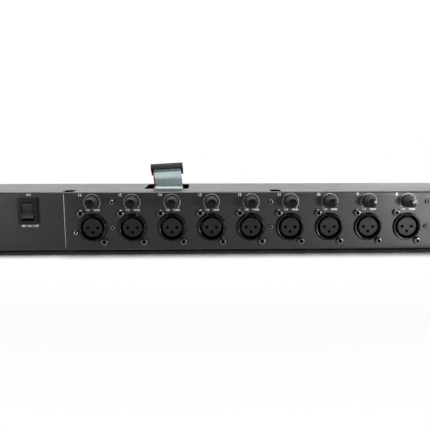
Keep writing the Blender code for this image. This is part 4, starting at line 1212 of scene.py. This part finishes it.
def ribbon_mesh(first, last):
    """The ribbon's conductors from first to last, along the route and into the free connector."""
    plug = plug_frame()
    in_plug = [plug @ Vector((0, 0, share * PLUG_HALF_HEIGHT)) for share in (-1, 0, 1)]
    points = [RIBBON_EXIT + Vector(point) for point in RIBBON_ROUTE] + in_plug
    route = smooth_route(points, RIBBON_STATIONS)
    section = conductor_section(first, last)
    outline = section + [(across, -half) for across, half in reversed(section)]
    low, high = RIBBON_EXIT.z, in_plug[0].z
    bm = bmesh.new()
    rings = []
    for index, point in enumerate(route):
        along = (route[min(index + 1, len(route) - 1)] - route[max(index - 1, 0)]).normalized()
        share = min(max((point.z - low) / (high - low), 0), 1)
        roll = PLUG_ROLL * share * share * (3 - 2 * share)
        sideways = Vector((math.cos(roll), 0, math.sin(roll)))
        out = sideways.cross(along).normalized()
        ring = [point + sideways * across + out * height for across, height in outline]
        rings.append([bm.verts.new(corner) for corner in ring])
    for ring, following in zip(rings, rings[1:]):
        for index in range(len(ring)):
            bm.faces.new((ring[index - 1], ring[index], following[index], following[index - 1]))
    bm.faces.new(rings[0])
    bm.faces.new(rings[-1])
    return meshed(bm)


def plug_body_mesh():
    """The free connector's body, with its polarising key and two rows of contact holes."""
    start, end = PLUG_BODY_DEPTH
    side, top = PLUG_HALF_WIDTH, PLUG_HALF_HEIGHT
    body = drawn(add_block, (-side, start, -top), (side, end, top))
    width, height = PLUG_KEY
    key_low = (-width / 2, (start + end) / 2, top - OVERLAP)
    key = drawn(add_block, key_low, (width / 2, end - OVERLAP, top + height))
    holes = bmesh.new()
    half = Vector((PLUG_HOLE / 2, PLUG_HOLE_DEPTH, PLUG_HOLE / 2))
    for x in row(CONDUCTORS // 2, PLUG_PITCH):
        for z in row(2, PLUG_PITCH):
            mouth = Vector((x, end, z))
            add_block(holes, mouth - half, mouth + half)
    return carved(body, [key], [holes], PLUG_BODY_EDGE)


def plug_bars_mesh(spans, back):
    """Rounded bars on the free connector's front, between pairs of x and as deep as back."""
    bars = bmesh.new()
    front, z = PLUG_COVER_DEPTH[0], PLUG_HALF_HEIGHT
    for left, right in spans:
        add_block(bars, (left, front, -z), (right, back, z), PLUG_EDGE, ARC_STEPS)
    return meshed(bars)


def header_mesh():
    """The connector on the board, with a mouth that the ribbon comes out of."""
    low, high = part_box("ribbon_board_connector")
    half = Vector((CONDUCTORS / 2 * CONDUCTOR_PITCH + GAP, CONDUCTOR_RADIUS + GAP, 0))
    top = Vector((RIBBON_EXIT.x, RIBBON_EXIT.y, high.z))
    mouth_low, mouth_high = top - half - Vector((0, 0, HEADER_MOUTH)), top + half + Vector((0, 0, REACH))
    mouth = drawn(add_block, mouth_low, mouth_high)
    return carved(drawn(add_block, low, high), cut=[mouth], edge=HEADER_EDGE)


def make_ribbon():
    """The ribbon with its marked core, the free connector with its clamp bar and hooks, and the header."""
    piece("ribbon_marked_core", ribbon_mesh(0, 1), "stripe", Vector(), "ribbon")
    piece("ribbon", ribbon_mesh(1, CONDUCTORS), "ribbon", Vector(), "ribbon", "ribbon_cable")
    plug = plug_frame()
    piece("plug_body", plug_body_mesh(), "housing", plug, "housing", "ribbon_socket_body")
    outer, inner = PLUG_HALF_WIDTH, PLUG_HALF_WIDTH - PLUG_LEG_WIDTH
    cover = plug_bars_mesh([(-inner, inner)], PLUG_COVER_DEPTH[1])
    piece("plug_cover", cover, "cover", plug, "housing_cover", "ribbon_socket_cover")
    hooks = plug_bars_mesh([(-outer, -inner), (inner, outer)], PLUG_LEG_DEPTH)
    piece("plug_hooks", hooks, "housing", plug, "housing")
    piece("board_header", header_mesh(), "housing", Vector(), "housing", "ribbon_board_connector")


# Print

def add_words(bm, words, letters, spot):
    """Adds raised lettering, centred on a spot of the panel given as (x, z)."""
    height, thickening = letters
    curve = bpy.data.curves.new("words", "FONT")
    curve.body = words
    curve.size = height / DIGIT_SHARE
    curve.bevel_depth = thickening
    curve.bevel_resolution = 0
    curve.space_character = LETTER_SPACING
    curve.align_x = "CENTER"
    curve.align_y = "CENTER"
    curve.extrude = INK / 2
    obj = placed("words", curve)
    mesh = evaluated_mesh(obj)
    bpy.data.objects.remove(obj)
    x, z = spot
    flatten = Matrix.Scale(INK / (INK + 2 * thickening), 4, (0, 0, 1))
    mesh.transform(Matrix.Translation((x, -INK / 2, z)) @ Matrix.Rotation(math.pi / 2, 4, "X") @ flatten)
    bm.from_mesh(mesh)
    bmesh.ops.remove_doubles(bm, verts=bm.verts, dist=WELD)
    bpy.data.meshes.remove(mesh)


def add_arc(bm):
    """Adds the printed arc round a knob, open at the bottom."""
    inner, outer = ARC_RADIUS - ARC_WIDTH / 2, ARC_RADIUS + ARC_WIDTH / 2
    angles = [ARC_SWEEP * (step / ARC_PRINT_STEPS - 0.5) for step in range(ARC_PRINT_STEPS + 1)]
    outline = [(outer * math.sin(angle), outer * math.cos(angle)) for angle in angles]
    outline += [(inner * math.sin(angle), inner * math.cos(angle)) for angle in reversed(angles)]
    caps = add_prism(bm, outline, -INK, 0)
    bmesh.ops.triangulate(bm, faces=caps)


def make_print():
    for number, spot in KNOB_SPOTS.items():
        scale = drawn(add_arc)
        add_words(scale, number, NUMBER_LETTERS, NUMBER_PLACE)
        for words, x in SCALE_MARKS:
            add_words(scale, words, SCALE_LETTERS, (x, -SCALE_MARK_DROP))
        piece(f"scale_print_{number}", meshed(scale), "ink", spot, "case_paint")
    marks = bmesh.new()
    for words, place in SWITCH_MARKS:
        add_words(marks, words, SWITCH_LETTERS, place)
    piece("switch_print", meshed(marks), "ink", SWITCH_SPOT, "case_paint")
    low, high = DIVIDER_Z
    half = DIVIDER_WIDTH / 2
    line = drawn(add_block, (-half, -INK, low), (half, 0, high), INK_EDGE)
    piece("divider_print", meshed(line), "ink", (DIVIDER_X, PANEL_Y, 0), "case_paint")


# Floor, light and camera

FLOOR_SIZE = 8.0
FLOOR_DROP = 0.05 * MM
FLOOR_COLOUR = 0.8
FLOOR_SEEN = 1.35
FLOOR_MIRRORED = 0.77
# How far from the case the floor is darkened as a painted contact shadow, and how open its surroundings are
# where it is black and white
CONTACT_REACH = 14 * MM
CONTACT_SHADE = (0.5, 0.95)
CONTACT_SAMPLES = 16
# Half sizes of the floor's patch that shows light and shadow, and where in it the white backdrop starts
FLOOR_PATCH = Vector((0.6, 0.3, 1.0))
FLOOR_FADE = (0.5, 1.0)
SKY_FILL = 0.015
# The sky's level in front and at the back, and the share of a direction that points back where it rises
SKY_LEVELS = (0.07, 1.08)
SKY_RISE = (0.1, 0.6)
# Lamps as place, target, size, power and whether they light the floor alone or all but the floor
LAMPS = {
    "floor_lamp": ((0, 0.87, 2.0), (0, 0, 0), (1.6, 0.6), 44.0, "INCLUDE"),
    "overhead": ((0, 0.1, 2.0), (0, 0, 0), (1.6, 0.25), 60.0, "EXCLUDE"),
    "back_card": ((0.35, 1.4, 0.5), (0.35, 0, 0.05), (3.4, 0.5), 6.3, "EXCLUDE"),
    "back_right_card": ((1.0, 1.4, 0.5), (1.0, 0, 0.05), (0.9, 0.5), 0.9, "EXCLUDE"),
    "right_card": ((0.32, -0.3, 0.025), (0.16, -0.036, 0.03), (0.08, 0.06), 0.94, "EXCLUDE"),
    "left_card": ((-0.31, -0.25, 0.03), (-0.16, -0.036, 0.03), (0.06, 0.045), 0.12, "EXCLUDE"),
}


def ray(tree, kind):
    """1 for rays of a kind, and 0 for others."""
    return add_node(tree, "LightPath", {}, f"Is {kind} Ray")


def or_mirrored(tree, value):
    """The value, but 1 for rays from mirrors and through glass."""
    for kind in ("Glossy", "Transmission"):
        value = calculated(tree, "MAXIMUM", value, ray(tree, kind))
    return value


def floor_look():
    """White floor with the lamps' shadows and a painted contact shadow near the object, and a white backdrop
    further out and in reflections.
    """
    look = bpy.data.materials.new("floor_white")
    look.use_nodes = True
    tree = look.node_tree
    tree.nodes.remove(tree.nodes["Principled BSDF"])
    camera = ray(tree, "Camera")
    tone = spread(tree, camera, UNIT, (FLOOR_COLOUR, FLOOR_SEEN))
    # Painted contact shadow: the floor's colour is darkened where the case is close
    openness = add_node(tree, "AmbientOcclusion", {"Distance": CONTACT_REACH}, "AO", samples=CONTACT_SAMPLES)
    shaded = calculated(tree, "MULTIPLY", tone, spread(tree, openness, CONTACT_SHADE, UNIT))
    matte = add_node(tree, "BsdfDiffuse", {"Color": shaded})
    position = add_node(tree, "NewGeometry", {}, "Position")
    patch = add_node(tree, "VectorMath", {0: position, 1: FLOOR_PATCH}, operation="DIVIDE")
    reach = add_node(tree, "VectorMath", {0: patch}, "Value", operation="LENGTH")
    far = spread(tree, reach, FLOOR_FADE, UNIT, interpolation_type="SMOOTHSTEP")
    backdrop = or_mirrored(tree, calculated(tree, "MULTIPLY", far, camera))
    level = spread(tree, camera, UNIT, (FLOOR_MIRRORED, 1))
    white = add_node(tree, "Emission", {"Strength": level})
    mix = add_node(tree, "MixShader", {0: backdrop, 1: matte, 2: white})
    tree.links.new(mix, tree.nodes["Material Output"].inputs["Surface"])
    return look


def make_floor():
    grid = bmesh.new()
    bmesh.ops.create_grid(grid, x_segments=1, y_segments=1, size=FLOOR_SIZE)
    floor = placed("floor", meshed(grid))
    floor.location.z = CASE_LOW.z - FLOOR_DROP
    floor.data.materials.append(floor_look())
    return floor


def make_world():
    """A dim studio whose white backdrop is seen by the camera and in reflections."""
    world = bpy.data.worlds.new("studio")
    bpy.context.scene.world = world
    world.use_nodes = True
    tree = world.node_tree
    direction = add_node(tree, "TexCoord", {}, "Generated")
    backwards = add_node(tree, "SeparateXYZ", {"Vector": direction}, "Y")
    level = spread(tree, backwards, SKY_RISE, SKY_LEVELS, interpolation_type="SMOOTHSTEP")
    camera = ray(tree, "Camera")
    white = calculated(tree, "MAXIMUM", level, camera)
    background = tree.nodes["Background"].inputs
    lit = spread(tree, or_mirrored(tree, camera), UNIT, (SKY_FILL, white))
    tree.links.new(lit, background["Strength"])
    background["Color"].default_value = (1, 1, 1, 1)


def make_lamps(floor):
    for name, (place, target, size, power, state) in LAMPS.items():
        lamp = bpy.data.lights.new(name, "AREA")
        lamp.shape = "RECTANGLE"
        lamp.size, lamp.size_y = size
        lamp.energy = power
        obj = placed(name, lamp)
        obj.location = place
        obj.rotation_euler = (Vector(target) - Vector(place)).to_track_quat("-Z", "Y").to_euler()
        obj.visible_camera = False
        lit = bpy.data.collections.new(name)
        lit.objects.link(floor)
        lit.collection_objects[0].light_linking.link_state = state
        obj.light_linking.receiver_collection = lit


def make_camera():
    camera = bpy.data.cameras.new("camera")
    camera.lens = CAMERA_LENS
    camera.sensor_width = CAMERA_SENSOR
    camera.clip_start = CAMERA_NEAR
    obj = placed("camera", camera)
    obj.location = CAMERA_PLACE
    obj.rotation_euler = (math.pi / 2 - CAMERA_PITCH, 0, -CAMERA_YAW)
    bpy.context.scene.camera = obj


make_case()
make_small_screws()
make_brackets()
make_sockets()
make_knobs()
make_switch()
make_board()
make_ribbon()
make_print()
make_lamps(make_floor())
make_world()
make_camera()
bpy.context.scene.view_settings.view_transform = "Standard"
